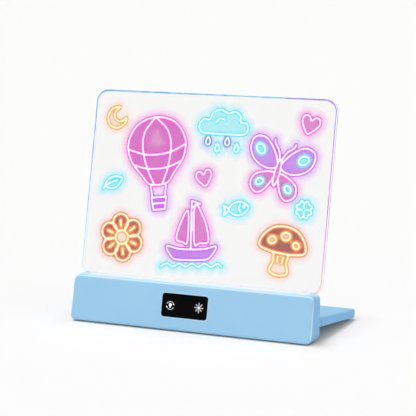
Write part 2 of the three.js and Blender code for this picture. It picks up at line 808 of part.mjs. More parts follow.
function lightLeadPort(below = 0) {
  const port = new THREE.Vector3(lightLeadX, lightLeadIn, channelInside - below);
  return port.applyMatrix4(panelFrame.matrix).toArray();
}

const chargeRoute = [
  [usbLeadX, usbY, usbLeadZ],
  [-94, 11.6, 12.6],
  [-86, 12.2, 10.8],
  [-76, 12.5, 9.6],
  [-64, 12.6, 9.1],
  [-52, 12.8, 9],
  [-40, 14.4, 9],
  [-32, 16.6, 9.4],
  [-28.6, 17.6, 9.7],
  socketPort(chargeSocketX, leadStraight),
  socketPort(chargeSocketX),
];
const lightRoute = [
  lightLeadPort(),
  lightLeadPort(lightLeadStraight),
  [-92.5, 15.9, 16.6],
  [-86, 15.6, 15],
  [-76, 15.5, 14.5],
  [-64, 15.5, 14.5],
  [-52, 15.5, 14.6],
  [-38, 16.2, 15],
  [-24, 17.4, 14.2],
  [-17.4, 18.2, 11.6],
  [-16, 17.4, 9.8],
  socketPort(lightSocketX, leadStraight),
  socketPort(lightSocketX),
];
const redRoute = [
  socketPort(redX),
  socketPort(redX, leadStraight),
  [19.8, 17.6, 10.2],
  [22.6, 17.8, 12.6],
  [25.6, 16.2, 14.3],
  [28, batteryLeadY, redZ],
  [batteryLeadX, batteryLeadY, redZ],
];
const blackRoute = [
  socketPort(blackX),
  socketPort(blackX, leadStraight),
  [18, 18.2, 8.8],
  [21.4, 18, 7.8],
  [25.2, 16.2, 8],
  [28, batteryLeadY, blackZ],
  [batteryLeadX, batteryLeadY, blackZ],
];

// The assembly: pieces of the bar's own frame first, then each leaning frame with what is fixed square to it

const object = new THREE.Group();
object.add(frontFrame, panelFrame, backFrame, standFrame);

object.add(
  cutPiece('front_housing', frontHousing(), bluePlastic),
  cutPiece('rear_cover', rearCover(), bluePlastic),
  cutPiece('battery_cell', batteryCell(), batteryWrap),
  cutPiece('usb_socket', usbSocket(), steel),
  piece('usb_board', usbBoard(), boardGreen),
  piece('charge_lead', lead(chargeRoute, leadRadius), leadBlack),
  piece('light_lead', lead(lightRoute, leadRadius), leadWhite),
  piece('battery_lead_red', lead(redRoute, batteryLeadRadius), leadRed),
  piece('battery_lead_black', lead(blackRoute, batteryLeadRadius), leadBlack),
);

for (const [side, name] of bothSides) {
  const foot = lying(barFootOutline(side), -footProud, barFootRecess - gap);
  object.add(piece(`bar_foot_${name}`, foot, rubber));
}

const partFront = mainBoardBack + gap;
const [chipLeft, chipRight] = beside(windowCentreX, chipSide);
const [chipLow, chipHigh] = beside((mainBoardFoot + mainBoardTop) / 2, chipSide);
const chip = block(chipLeft, chipRight, partFront, partFront + chipHeight, chipLow, chipHigh);

frontFrame.add(
  piece('touch_window', standing(windowOutline(), 0, windowThickness), blackGloss),
  cutPiece('main_board', mainBoard(), boardGreen),
  piece('control_chip', chip, chipBlack),
  piece('touch_spring_left', touchSpring(keyXs[0]), springSteel),
  piece('touch_spring_right', touchSpring(keyXs[1]), springSteel),
);

for (const [name, x] of [['charge', chargeSocketX], ['light', lightSocketX], ['battery', batterySocketX]]) {
  const [left, right] = beside(x, socketWidth);
  const [low, high] = beside(socketUp, socketHeight);
  const body = block(left, right, partFront, socketBack, low, high);
  frontFrame.add(piece(`${name}_lead_socket`, body, whitePlastic));
}

const ledBoardHalf = channelWellHalf - gap;
const ledPitch = 2 * (channelWellHalf - ledEndInset) / (ledCount - 1);
const ledBoard = block(-ledBoardHalf, ledBoardHalf, 0, panelThickness, ledBoardFoot, ledBoardTop);

panelFrame.add(
  piece('drawing_panel', standing(panelOutline(), 0, panelThickness), acrylic),
  cutPiece('light_channel', lightChannel(), whitePlastic),
  piece('led_board', ledBoard, boardWhite),
);

for (let i = 0; i < ledCount; i += 1) {
  const [left, right] = beside((i - (ledCount - 1) / 2) * ledPitch, ledLength);
  const [front, back] = beside(panelThickness / 2, ledWidth);
  panelFrame.add(piece(`led_${i + 1}`, block(left, right, front, back, ledFoot, ledTop), ledBody));
}

coverScrews.forEach(([x, up], i) => {
  const body = screw(screwHeadRadius, screwHeadHeight, screwShankRadius, screwShankLength);
  const mesh = piece(`cover_screw_${i + 1}`, body, steel);
  mesh.position.set(x, headSeat, up);
  backFrame.add(mesh);
});

const plugOut = standHalf - plugSink;
const plugIn = plugOut - plugLength;
const rodHalf = plugIn - gap;

standFrame.add(
  cutPiece('stand_top_shell', standTopShell(), bluePlastic),
  cutPiece('stand_bottom_cover', standBottomCover(), bluePlastic),
  piece('hinge_rod', rodAlongX(rodRadius, -rodHalf, rodHalf, 0, 0), steel),
);

for (const [side, name] of bothSides) {
  const [left, right] = side > 0 ? [plugIn, plugOut] : [-plugOut, -plugIn];
  const washerOffset = (earWidth + washerThickness) / 2 + gap;
  standFrame.add(
    piece(`rod_plug_${name}`, rodAlongX(rodRadius, left, right, 0, 0), bluePlastic),
    cutPiece(`friction_washer_${name}_outer`, frictionWasher(side * (earX + washerOffset)), steel),
    cutPiece(`friction_washer_${name}_inner`, frictionWasher(side * (earX - washerOffset)), steel),
    piece(`stand_foot_${name}`, standFoot(side * standFootX), rubber),
  );
}

standScrews.forEach(([x, y], i) => {
  const head = [standScrewHeadRadius, standScrewHeadHeight];
  const body = screw(...head, standScrewShankRadius, standScrewShankLength);
  const mesh = piece(`stand_screw_${i + 1}`, body, steel);
  mesh.position.set(x, y, standHeadSeat);
  mesh.rotation.x = -quarter;
  standFrame.add(mesh);
});

// The origin is at the middle of the whole outline, on the surface that the feet stand on
const bounds = new THREE.Box3().setFromObject(object, true);
const middle = bounds.getCenter(new THREE.Vector3());
object.position.set(-middle.x, -middle.y, -bounds.min.z);

export default object;
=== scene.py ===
# The looks of an edge-lit drawing board: a clear sheet with glowing marker drawings, held in a soft-edged
# plastic bar with a black touch window, and a folding plate behind it. Blender gets metres, in the packed
# model's frame. Sizes are written in millimetres, and MM makes them metres.

import math

import bmesh
import bpy
import numpy as np
from mathutils import Matrix, Vector
from mathutils.geometry import delaunay_2d_cdt


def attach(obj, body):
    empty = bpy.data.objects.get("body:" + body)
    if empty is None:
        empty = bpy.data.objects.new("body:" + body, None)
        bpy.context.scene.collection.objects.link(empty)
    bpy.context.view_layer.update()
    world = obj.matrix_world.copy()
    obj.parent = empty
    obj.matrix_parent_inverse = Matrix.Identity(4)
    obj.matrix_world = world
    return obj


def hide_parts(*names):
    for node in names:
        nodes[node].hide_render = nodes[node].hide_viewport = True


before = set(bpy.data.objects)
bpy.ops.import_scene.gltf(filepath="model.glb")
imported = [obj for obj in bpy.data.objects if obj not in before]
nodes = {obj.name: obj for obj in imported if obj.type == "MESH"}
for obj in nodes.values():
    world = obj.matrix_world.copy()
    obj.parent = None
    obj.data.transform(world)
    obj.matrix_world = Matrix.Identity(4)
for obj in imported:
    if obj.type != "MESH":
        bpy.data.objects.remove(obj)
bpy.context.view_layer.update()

MM = 0.001

# The sizes that the CAD gives: the bar's front leans back, and the sheet stands parallel to it. Both feet are
# in the middle, of the front's lower edge and of the sheet where it leaves the bar. The sheet is at its full
# width down to SHEET_SHOULDER below its foot.
LEAN = math.radians(12.2)
FRONT_FOOT = Vector((-0.622, -56.07, 0.6)) * MM
SHEET_FOOT = Vector((0.978, -37.593, 40.6)) * MM
SHEET_HALF = 114.5
SHEET_RISE = 164.5
SHEET_THICKNESS = 5.0
SHEET_CORNER = 11.0
SHEET_SHOULDER = 1.5
SHEET_TONGUE = 14.3
SHEET_CHAMFER = 0.4
SHEET_MIDDLE_UP = (SHEET_RISE - SHEET_SHOULDER) / 2
SHEET_HALF_UP = (SHEET_RISE + SHEET_SHOULDER) / 2
WINDOW_MIDDLE = (-3.85, 21.92)
WINDOW_SIZE = (42.5, 19.5)
WINDOW_CORNER = 2.0
CELL_MIDDLE = 54.0

# The bar's front, from the sheet's foot: its middle along and up, and half its length and height
BAR_MIDDLE = (-1.6, -22.54)
BAR_HALF = (115.0, 20.46)
BAR_CORNER = 5.5

to_front = Matrix.Translation(FRONT_FOOT) @ Matrix.Rotation(-LEAN, 4, "X")
to_sheet = Matrix.Translation(SHEET_FOOT) @ Matrix.Rotation(-LEAN, 4, "X")

BLACK = (0.0, 0.0, 0.0, 1.0)
WHITE = (1.0, 1.0, 1.0, 1.0)

# How brightly the sheet's rim and the marker glow, and how much of that light their plain colours show
RIM_LIGHT = 0.35
RIM_SHADE = 0.62
MARKER_LIGHT = 0.5
MARKER_SHADE = 0.58


def linear(*values):
    """A colour as it is seen, 0 to 255, as the linear colour that shaders take, by the sRGB curve."""
    shares = [v / 255 for v in values]
    return tuple(s / 12.92 if s <= 0.04045 else ((s + 0.055) / 1.055) ** 2.4 for s in shares) + (1.0,)


# Finishes


def by_node(operation, turned=False):
    """An operator of an amount: it adds a Math node, with the amount last where it is turned round."""

    def work_out(self, *others):
        terms = (*others, self) if turned else (self, *others)
        return self.finish.add("ShaderNodeMath", terms, operation=operation)

    return work_out


class Amount:
    """A number or colour that varies over a surface; arithmetic on numbers adds Math nodes to the finish."""

    def __init__(self, finish, socket):
        self.finish = finish
        self.socket = socket

    __add__ = by_node("ADD")
    __radd__ = by_node("ADD", turned=True)
    __sub__ = by_node("SUBTRACT")
    __rsub__ = by_node("SUBTRACT", turned=True)
    __mul__ = by_node("MULTIPLY")
    __rmul__ = by_node("MULTIPLY", turned=True)
    __truediv__ = by_node("DIVIDE")
    __pow__ = by_node("POWER")
    __abs__ = by_node("ABSOLUTE")
    at_least = by_node("MAXIMUM")
    at_most = by_node("MINIMUM")
    root = by_node("SQRT")


class Finish:
    """A material, or the world's light, that is being made."""

    def __init__(self, name, kind=bpy.data.materials):
        self.owner = kind.new(name)
        self.owner.use_nodes = True
        self.tree = self.owner.node_tree
        self.tree.nodes.clear()

    def add(self, kind, values=(), output=0, **settings):
        """Adds any node: its settings come first, then the values or links of its sockets."""
        node = self.tree.nodes.new(kind)
        for name, value in settings.items():
            setattr(node, name, value)
        for key, value in values.items() if isinstance(values, dict) else enumerate(values):
            if isinstance(value, Amount):
                self.tree.links.new(value.socket, node.inputs[key])
            else:
                node.inputs[key].default_value = value
        return Amount(self, node.outputs[output]) if node.outputs else None

    def place(self):
        return self.add("ShaderNodeTexCoord", output="Object")

    def noise(self, scale, detail=2.0, where=None):
        values = {"Vector": where or self.place(), "Scale": scale, "Detail": detail}
        return self.add("ShaderNodeTexNoise", values, output="Fac")

    def blend(self, share, first, second):
        """A mix of two linear colours. A colour Mix has them in its sockets 6 and 7, and gives output 2."""
        return self.add("ShaderNodeMix", {0: share, 6: first, 7: second}, output=2, data_type="RGBA")

    def tones(self, share, first, second):
        """A mix of two plain colours, written as they are seen."""
        return self.blend(share, linear(*first), linear(*second))

    def darker(self, colour, share):
        return self.blend(share, BLACK, colour)

    def rise(self, value, low, high):
        """0 below low, 1 above high and a soft step between."""
        values = {"Value": value, "From Min": low, "From Max": high}
        return self.add("ShaderNodeMapRange", values, interpolation_type="SMOOTHSTEP")

    def axes(self, where):
        return [self.add("ShaderNodeSeparateXYZ", [where], output=i) for i in range(3)]

    def attribute(self, name, output="Fac"):
        return self.add("ShaderNodeAttribute", output=output, attribute_name=name)

    def grain(self, height, depth):
        """A bump, its depth in millimetres."""
        values = {"Height": height, "Distance": depth * MM, "Strength": 1.0}
        return self.add("ShaderNodeBump", values, output="Normal")

    def seen_directly(self):
        """1 for rays from the camera, from a gloss or through the clear sheet, and 0 for those that light."""
        kinds = ("Camera", "Glossy", "Transmission")
        camera, gloss, clear = (self.add("ShaderNodeLightPath", output=f"Is {kind} Ray") for kind in kinds)
        return camera.at_least(gloss).at_least(clear)

    def finish(self, shader, kind="Material"):
        self.add(f"ShaderNodeOutput{kind}", {"Surface": shader})
        return self.owner

    def surface(self, **values):
        """Ends the material in a Principled shader, whose sockets are written with _ for a space."""
        named = {name.replace("_", " "): value for name, value in values.items()}
        return self.finish(self.add("ShaderNodeBsdfPrincipled", named))


def sheet_place(f):
    """How far along, into and up the sheet a point lies, in millimetres from the middle of its foot."""
    turned = f.add("ShaderNodeMapping", {
        "Vector": f.place(), "Location": SHEET_FOOT, "Rotation": (-LEAN, 0.0, 0.0),
    }, vector_type="TEXTURE")
    return [part * (1 / MM) for part in f.axes(turned)]


def depth_inside(along, up, half, corner):
    """How far inside a rounded rectangle about the origin a point lies, in millimetres."""
    beside = abs(along) - (half[0] - corner)
    above = abs(up) - (half[1] - corner)
    out = beside.at_least(0.0) ** 2.0 + above.at_least(0.0) ** 2.0
    return corner - out.root() - beside.at_least(above).at_most(0.0)


def turned_aside(f):
    """1 where a face is turned to the left or right, and 0 on the fronts and tops."""
    across = f.axes(f.add("ShaderNodeTexCoord", output="Normal"))[0]
    return f.rise(abs(across), 0.55, 0.95)


def moulded_tone(f, colour, paler, painted_side_shade=None):
    """A plastic's colour with slight flow marks, and a painted shade at its ends where a colour for it is
    given.
    """
    tone = f.tones(f.rise(f.noise(28, 3), 0.35, 0.65), colour, paler)
    return f.blend(turned_aside(f), tone, linear(*painted_side_shade)) if painted_side_shade else tone


def moulded_surface(f, tone, rough=0.42, grain_scale=2600, **glow):
    """Injection-moulded plastic: a fine eroded texture and a soft sheen."""
    return f.surface(
        Base_Color=tone, Roughness=rough - 0.05 + 0.1 * f.noise(160), Specular_IOR_Level=0.015,
        Normal=f.grain(f.noise(grain_scale), 0.03), **glow)


def moulded_plastic(name, *colours, **texture):
    f = Finish(name)
    return moulded_surface(f, moulded_tone(f, *colours), **texture)


def front_edge_highlight(f, along, into, up):
    """Painted highlight: 1 along the middle of the rounded edge of the bar's front, and 0 on the flats and
    underneath.
    """
    depth = depth_inside(along - BAR_MIDDLE[0], up - BAR_MIDDLE[1], BAR_HALF, BAR_CORNER)
    band = 1 - f.rise(abs(depth - 0.75), 0.05, 0.85)
    before_ends = 1 - f.rise(into, -8.4, -7.4)
    above_foot = f.rise(up, -41.0, -36.0)
    return band * before_ends * above_foot


def lit_bar_plastic(name, *colours):
    """The bar's plastic: painted highlights on its rounded edges, painted light on top where the sheet's
    light spills.
    """
    f = Finish(name)
    along, into, up = sheet_place(f)
    edge = front_edge_highlight(f, along, into, up)
    # The rounded front edge is painted paler, as a painted highlight.
    tone = f.blend(edge * 0.7, moulded_tone(f, *colours), linear(210, 242, 255))
    # Painted light: the top is painted in the sheet's pale light, fading towards the ends.
    ends = 1 - 0.7 * f.rise(abs(along), 98.0, 113.0)
    uneven = 0.6 * f.noise(60, 3)
    on_top = f.rise(up + uneven, -3.0, -0.1)
    by_sheet = 0.7 + 0.24 * f.rise(into + 2.0 * uneven, -8.6, -3.0)
    painted_spill = on_top * by_sheet * ends
    patches = f.rise(f.noise(24), 0.45, 0.6)
    cool = f.tones(patches, (238, 239, 244), (222, 242, 245))
    warm = f.tones(patches, (225, 240, 245), (239, 237, 243))
    light = f.blend(f.rise(along, 10.0, 50.0), cool, warm)
    slot = 1 - f.rise(abs(into - SHEET_THICKNESS / 2), 2.9, 3.6)
    # Painted glow on the top, on the slot's walls and on the front edge's highlight.
    glow = 0.03 * painted_spill + 0.3 * slot * f.rise(up, -9.0, -1.0) * ends + 0.05 * edge
    return moulded_surface(
        f, f.blend(painted_spill, tone, light), Emission_Color=f.darker(light, glow), Emission_Strength=1.0)


def gloss_window(name):
    """The touch window: black gloss, with the faintest smears left by fingers."""
    f = Finish(name)
    smear = f.rise(f.noise(90, 4), 0.45, 0.75)
    tone = f.tones(smear, (4, 4, 4), (6, 6, 7))
    return f.surface(Base_Color=tone, Roughness=0.1 + 0.08 * smear, Specular_IOR_Level=0.03)


def metal(name, colour, rough, scratch_scale=900):
    """Bare metal with fine scratches from left to right."""
    f = Finish(name)
    stretched = f.add("ShaderNodeMapping", {"Vector": f.place(), "Scale": (0.15, 1.0, 1.0)})
    scratches = f.noise(scratch_scale, 3, stretched)
    return f.surface(
        Base_Color=f.tones(scratches, colour, (222, 224, 227)), Metallic=1.0,
        Roughness=rough + 0.12 * scratches, Normal=f.grain(scratches, 0.004))


def rubber(name, colour):
    f = Finish(name)
    speck = f.noise(2200)
    return f.surface(
        Base_Color=f.tones(f.rise(speck, 0.4, 0.7), colour, (74, 80, 86)),
        Roughness=0.78 + 0.14 * f.noise(200), Normal=f.grain(speck, 0.05))


def board_finish(name, colour, track_colour):
    """A circuit board: solder resist over copper tracks that show as lines of another shade."""
    f = Finish(name)
    bands = f.add("ShaderNodeTexWave", {
        "Vector": f.place(), "Scale": 260.0, "Distortion": 9.0, "Detail": 2.0, "Detail Scale": 0.6,
    }, output="Fac")
    track = f.rise(bands, 0.8, 0.9)
    return f.surface(
        Base_Color=f.tones(track, colour, track_colour), Roughness=0.34 + 0.2 * f.noise(500),
        Normal=f.grain(track, 0.03))


def lead_cover(name, colour, worn):
    f = Finish(name)
    return f.surface(
        Base_Color=f.tones(f.noise(700), colour, worn), Roughness=0.44 + 0.14 * f.noise(1500),
        Normal=f.grain(f.noise(3000), 0.02))


def wrapped_cell(name):
    """The battery's shrink wrap: printed blue with a paler band near each end."""
    f = Finish(name)
    from_middle = abs(f.axes(f.place())[0] - CELL_MIDDLE * MM)
    band = f.rise(from_middle, 20.5 * MM, 21.2 * MM)
    return f.surface(
        Base_Color=f.tones(band, (47, 111, 179), (226, 232, 238)), Roughness=0.3 + 0.15 * f.noise(300),
        Normal=f.grain(f.noise(450), 0.03))


def led_resin(name):
    f = Finish(name)
    tone = f.tones(f.noise(1200), (250, 240, 190), (252, 250, 232))
    return f.surface(
        Base_Color=tone, Roughness=0.25 + 0.1 * f.noise(800), Emission_Color=tone, Emission_Strength=0.8)


def edge_colour(f, along, up, patches):
    """The light from the sheet's edge: blue on the left and top, and violet, pink and peach on the right."""
    blue = f.tones(patches, (70, 170, 252), (142, 214, 252))
    violet = f.tones(patches, (126, 102, 250), (176, 136, 248))
    pink = f.tones(patches, (212, 86, 244), (250, 126, 238))
    peach = f.tones(patches, (250, 182, 166), (250, 206, 196))
    pale = f.tones(patches, (190, 232, 250), (220, 244, 248))
    right = f.blend(f.rise(up, 104.0, 142.0), pink, violet)
    right = f.blend(0.55 * f.rise(up, 12.0, 24.0) + 0.45 * f.rise(up, 34.0, 60.0), peach, right)
    left = f.blend(f.rise(up, 12.0, 70.0), pale, blue)
    sides = f.blend(f.rise(along, 64.0, 72.0), left, right)
    foot = (1 - f.rise(up, 2.0, 5.0)) * (1 - f.rise(abs(along), 99.0, 106.0))
    return f.blend(foot, sides, linear(238, 248, 252))


def clear_sheet(name):
    """Cast acrylic: clear, with a faint veil, a polished gloss and light along its rim."""
    f = Finish(name)
    along, into, up = sheet_place(f)
    patches = f.rise(f.noise(100, 3), 0.38, 0.62)
    wobble = f.noise(70) - 0.5
    width = 0.95 + 0.3 * f.rise(up, 158.0, 162.0) + 0.4 * f.rise(up - along, 150.0, 250.0)
    width = width - 0.35 * f.rise(along, 108.0, 112.0)
    depth = depth_inside(along, up - SHEET_MIDDLE_UP, (SHEET_HALF, SHEET_HALF_UP), SHEET_CORNER)
    rim = (1 - f.rise((depth + 0.7 * wobble) / width, 0.78, 1.15)) * (1 - f.rise(into, 1.0, 2.0))
    veil = 0.026 + 0.01 * f.noise(60, 3)
    light = edge_colour(f, along, up, patches)
    return f.surface(
        Base_Color=f.blend(rim, linear(96, 98, 96), f.darker(light, RIM_SHADE)), Roughness=0.06,
        Emission_Color=f.darker(light, rim), Emission_Strength=RIM_LIGHT, Alpha=veil + rim * 0.9,
        Specular_IOR_Level=0.3)


def lit_edge(name):
    """The sheet's narrow sides, which let the light out: bright along their borders and clear between."""
    f = Finish(name)
    along, into, up = sheet_place(f)
    patches = f.rise(f.noise(120, 3), 0.36, 0.64)
    front = 1 - f.rise(into, 0.4, 0.8)
    back = f.rise(into + 0.8 * f.noise(90), 3.5, 4.1) * (0.08 + 0.8 * f.rise(along, -112.0, -104.0))
    border = front.at_least(back)
    tone = f.blend(border, linear(248, 246, 251), edge_colour(f, along, up, patches))
    return f.surface(
        Base_Color=f.darker(tone, RIM_SHADE), Roughness=0.3, Emission_Color=tone,
        Emission_Strength=RIM_LIGHT, Alpha=0.08 + 0.87 * border, Specular_IOR_Level=0.1)


GLOW_REACH = 9.5  # of a line's halo, in millimetres


def marker_glow(name):
    """Fluorescent marker on the lit sheet: white-hot lines with a coloured rim, soft halos, thin washes."""
    f = Finish(name)
    reach = f.attribute("reach")
    line = f.attribute("line", "Color")
    warm = f.attribute("line", "Alpha")
    wash = f.attribute("wash", "Color")
    wash_share = f.attribute("wash", "Alpha")
    within = f.rise(wash_share, 0.05, 0.2)
    wash_share = wash_share * (0.88 + 0.16 * f.noise(420, 3) + 0.08 * f.noise(1500, 1))
    wash_share = wash_share * (1 - 0.2 * (1 - warm) * f.rise(reach, 3.0, 12.0))
    near = 1 - f.rise(reach, 1.3, 3.0)
    rim = 0.92 * (1 - f.rise(reach, 1.5, 2.5))
    halo = (0.6 - 0.16 * warm) * (1 - reach / GLOW_REACH).at_least(0.0) ** (1.4 + 0.5 * warm)
    inner = (0.9 * near).at_least(wash_share)
    share = rim.at_least(halo * (1 - within) + inner * within)
    tone = f.blend(within * (1 - near), line, wash)
    tone = f.blend(warm * (1 - f.rise(reach, 0.9, 1.5)), tone, linear(254, 186, 70))
    core = 1 - f.rise(reach, 0.45, 0.95)
    tone = f.blend(core, tone, f.tones(warm, (255, 255, 255), (255, 253, 214)))
    return f.surface(
        Base_Color=f.darker(tone, MARKER_SHADE), Roughness=0.5, Specular_IOR_Level=0.05,
        Emission_Color=tone, Emission_Strength=MARKER_LIGHT, Alpha=share)


def printed_white(name):
    """The window's white print, lit a little from behind."""
    f = Finish(name)
    tone = f.tones(f.noise(900), (222, 226, 230), (238, 240, 242))
    return f.surface(
        Base_Color=tone, Roughness=0.4 + 0.1 * f.noise(1500), Emission_Color=tone, Emission_Strength=1.5)


# The third colour of a blue is its painted side shade, for faces turned to the left or right.
blue_plastic = moulded_plastic("moulded_blue", (145, 198, 230), (148, 200, 231), (142, 199, 246))
bar_plastic = lit_bar_plastic("moulded_blue_painted_light", (157, 206, 240), (160, 208, 241), (146, 200, 244))
# The window's rim is paler than the bar: a painted highlight round the window.
rim_plastic = moulded_plastic("polished_rim_painted_highlight", (176, 220, 250), (184, 224, 252), rough=0.22)
white_plastic = moulded_plastic("moulded_white", (232, 232, 228), (242, 242, 238), rough=0.45)
chip_black = moulded_plastic("chip_resin", (22, 23, 25), (31, 32, 34), rough=0.5, grain_scale=3500)
black_gloss = gloss_window("gloss_black_window")
black_gasket = moulded_plastic("black_gasket", (1, 1, 1), (3, 3, 3), rough=0.3)
clear_acrylic = clear_sheet("clear_acrylic_sheet")
acrylic_edge = lit_edge("lit_acrylic_edge")
marker_ink = marker_glow("glowing_marker")
symbol_print = printed_white("printed_symbols")
board_green = board_finish("green_board", (28, 84, 54), (58, 122, 84))
board_white = board_finish("white_board", (232, 234, 229), (214, 216, 210))
led_body = led_resin("led_resin")
steel = metal("plain_steel", (172, 176, 182), 0.28)
spring_steel = metal("spring_steel", (186, 189, 194), 0.24, 2400)
battery_wrap = wrapped_cell("battery_wrap")
foot_rubber = rubber("foot_rubber", (50, 54, 60))
lead_red = lead_cover("red_lead", (176, 34, 26), (196, 52, 44))
lead_black = lead_cover("black_lead", (24, 24, 26), (42, 42, 45))
lead_white = lead_cover("white_lead", (226, 226, 222), (240, 240, 236))

FINISH_OF = {name: finish for finish, names in (
    (bar_plastic, "front_housing rear_cover"),
    # The stand's blue is the bar's plastic painted darker: painted shade for its top, which the lamps light
    # more than the bar's front.
    (blue_plastic, "stand_top_shell stand_bottom_cover rod_plug"),
    (black_gloss, "touch_window"),
    (clear_acrylic, "drawing_panel"),
    (white_plastic, "light_channel charge_lead_socket light_lead_socket battery_lead_socket"),
    (board_white, "led_board"),
    (board_green, "main_board usb_board"),
    (led_body, "led"),
    (chip_black, "control_chip"),
    (battery_wrap, "battery_cell"),
    (lead_red, "battery_lead_red"),
    (lead_black, "battery_lead_black charge_lead"),
    (lead_white, "light_lead"),
    (steel, "usb_socket cover_screw stand_screw hinge_rod"),
    (spring_steel, "touch_spring friction_washer"),
    (foot_rubber, "bar_foot stand_foot"),
) for name in names.split()}


def finish_of(node):
    """The finish of a node: the longest name in the list that its name starts with."""
    return FINISH_OF[max((name for name in FINISH_OF if node.startswith(name)), key=len)]


for name, node in nodes.items():
    node.data.materials.clear()
    node.data.materials.append(finish_of(name))


# Making pieces


SHARP = math.radians(50)
SAME_POINT = 1e-6


def put_in_scene(name, data):
    thing = bpy.data.objects.new(name, data)
    bpy.context.scene.collection.objects.link(thing)
    return thing


def new_piece(name, mesh, materials, body):
    for material in materials:
        mesh.materials.append(material)
    piece = put_in_scene(name, mesh)
    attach(piece, body)
    return piece


def mesh_of(name, work, place=None):
    """A mesh from a bmesh, which is in millimetres where it is still to be put in its place."""
    mesh = bpy.data.meshes.new(name)
    work.to_mesh(mesh)
    work.free()
    if place is not None:
        mesh.transform(place @ Matrix.Scale(MM, 4))
    return mesh


def soften(node, body):
    """Stands in for a CAD node with the same form, and shades its rounded edges as rounds, not facets."""
    work = bmesh.new()
    work.from_mesh(nodes[node].data)
    bmesh.ops.remove_doubles(work, verts=work.verts, dist=SAME_POINT)
    for face in work.faces:
        face.smooth = True
    for edge in work.edges:
        edge.smooth = len(edge.link_faces) == 2 and edge.calc_face_angle() < SHARP
    name = f"{node}_soft"
    piece = new_piece(name, mesh_of(name, work), [finish_of(node)], body)
    weighted = piece.modifiers.new("flat faces stay flat", "WEIGHTED_NORMAL")
    weighted.keep_sharp = True
    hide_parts(node)


for node in ("front_housing", "rear_cover"):
    soften(node, "bar")
for node in ("stand_top_shell", "stand_bottom_cover", "rod_plug_left", "rod_plug_right"):
    soften(node, "stand")
soften("hinge_rod", "stand")
soften("battery_cell", "bar")
soften("usb_socket", "bar")


# The screws: domed heads with a cross recess, on threaded shanks


class Tree:
    """A geometry node tree that is being made. A share of a named size is written as times(size, share)."""

    def __init__(self, name, sizes):
        self.group = bpy.data.node_groups.new(name, "GeometryNodeTree")
        self.group.interface.new_socket("Geometry", in_out="INPUT", socket_type="NodeSocketGeometry")
        for label, kind in sizes.items():
            self.group.interface.new_socket(label, in_out="INPUT", socket_type=f"NodeSocket{kind}")
        self.group.interface.new_socket("Geometry", in_out="OUTPUT", socket_type="NodeSocketGeometry")
        self.given = self.group.nodes.new("NodeGroupInput").outputs

    def add(self, kind, values=None, **settings):
        """Adds a node, its settings first, then its sockets' values or links, and gives its outputs."""
        node = self.group.nodes.new(kind)
        for name, value in settings.items():
            setattr(node, name, value)
        for key, value in (values or {}).items():
            for one in value if isinstance(value, list) else [value]:
                if isinstance(one, bpy.types.NodeSocket):
                    self.group.links.new(one, node.inputs[key])
                else:
                    node.inputs[key].default_value = one
        return node.outputs

    def times(self, size, share):
        return self.add("ShaderNodeMath", {0: size, 1: share}, operation="MULTIPLY")[0]

    def raised(self, geometry, height):
        upwards = self.add("ShaderNodeCombineXYZ", {"Z": height})[0]
        return self.add("GeometryNodeTransform", {"Geometry": geometry, "Translation": upwards})[0]

    def finish(self, geometry, material):
        real = self.add("GeometryNodeRealizeInstances", {"Geometry": geometry})[0]
        finished = self.add("GeometryNodeSetMaterial", {"Geometry": real, "Material": material})[0]
        self.group.links.new(finished, self.group.nodes.new("NodeGroupOutput").inputs[0])
        return self.group


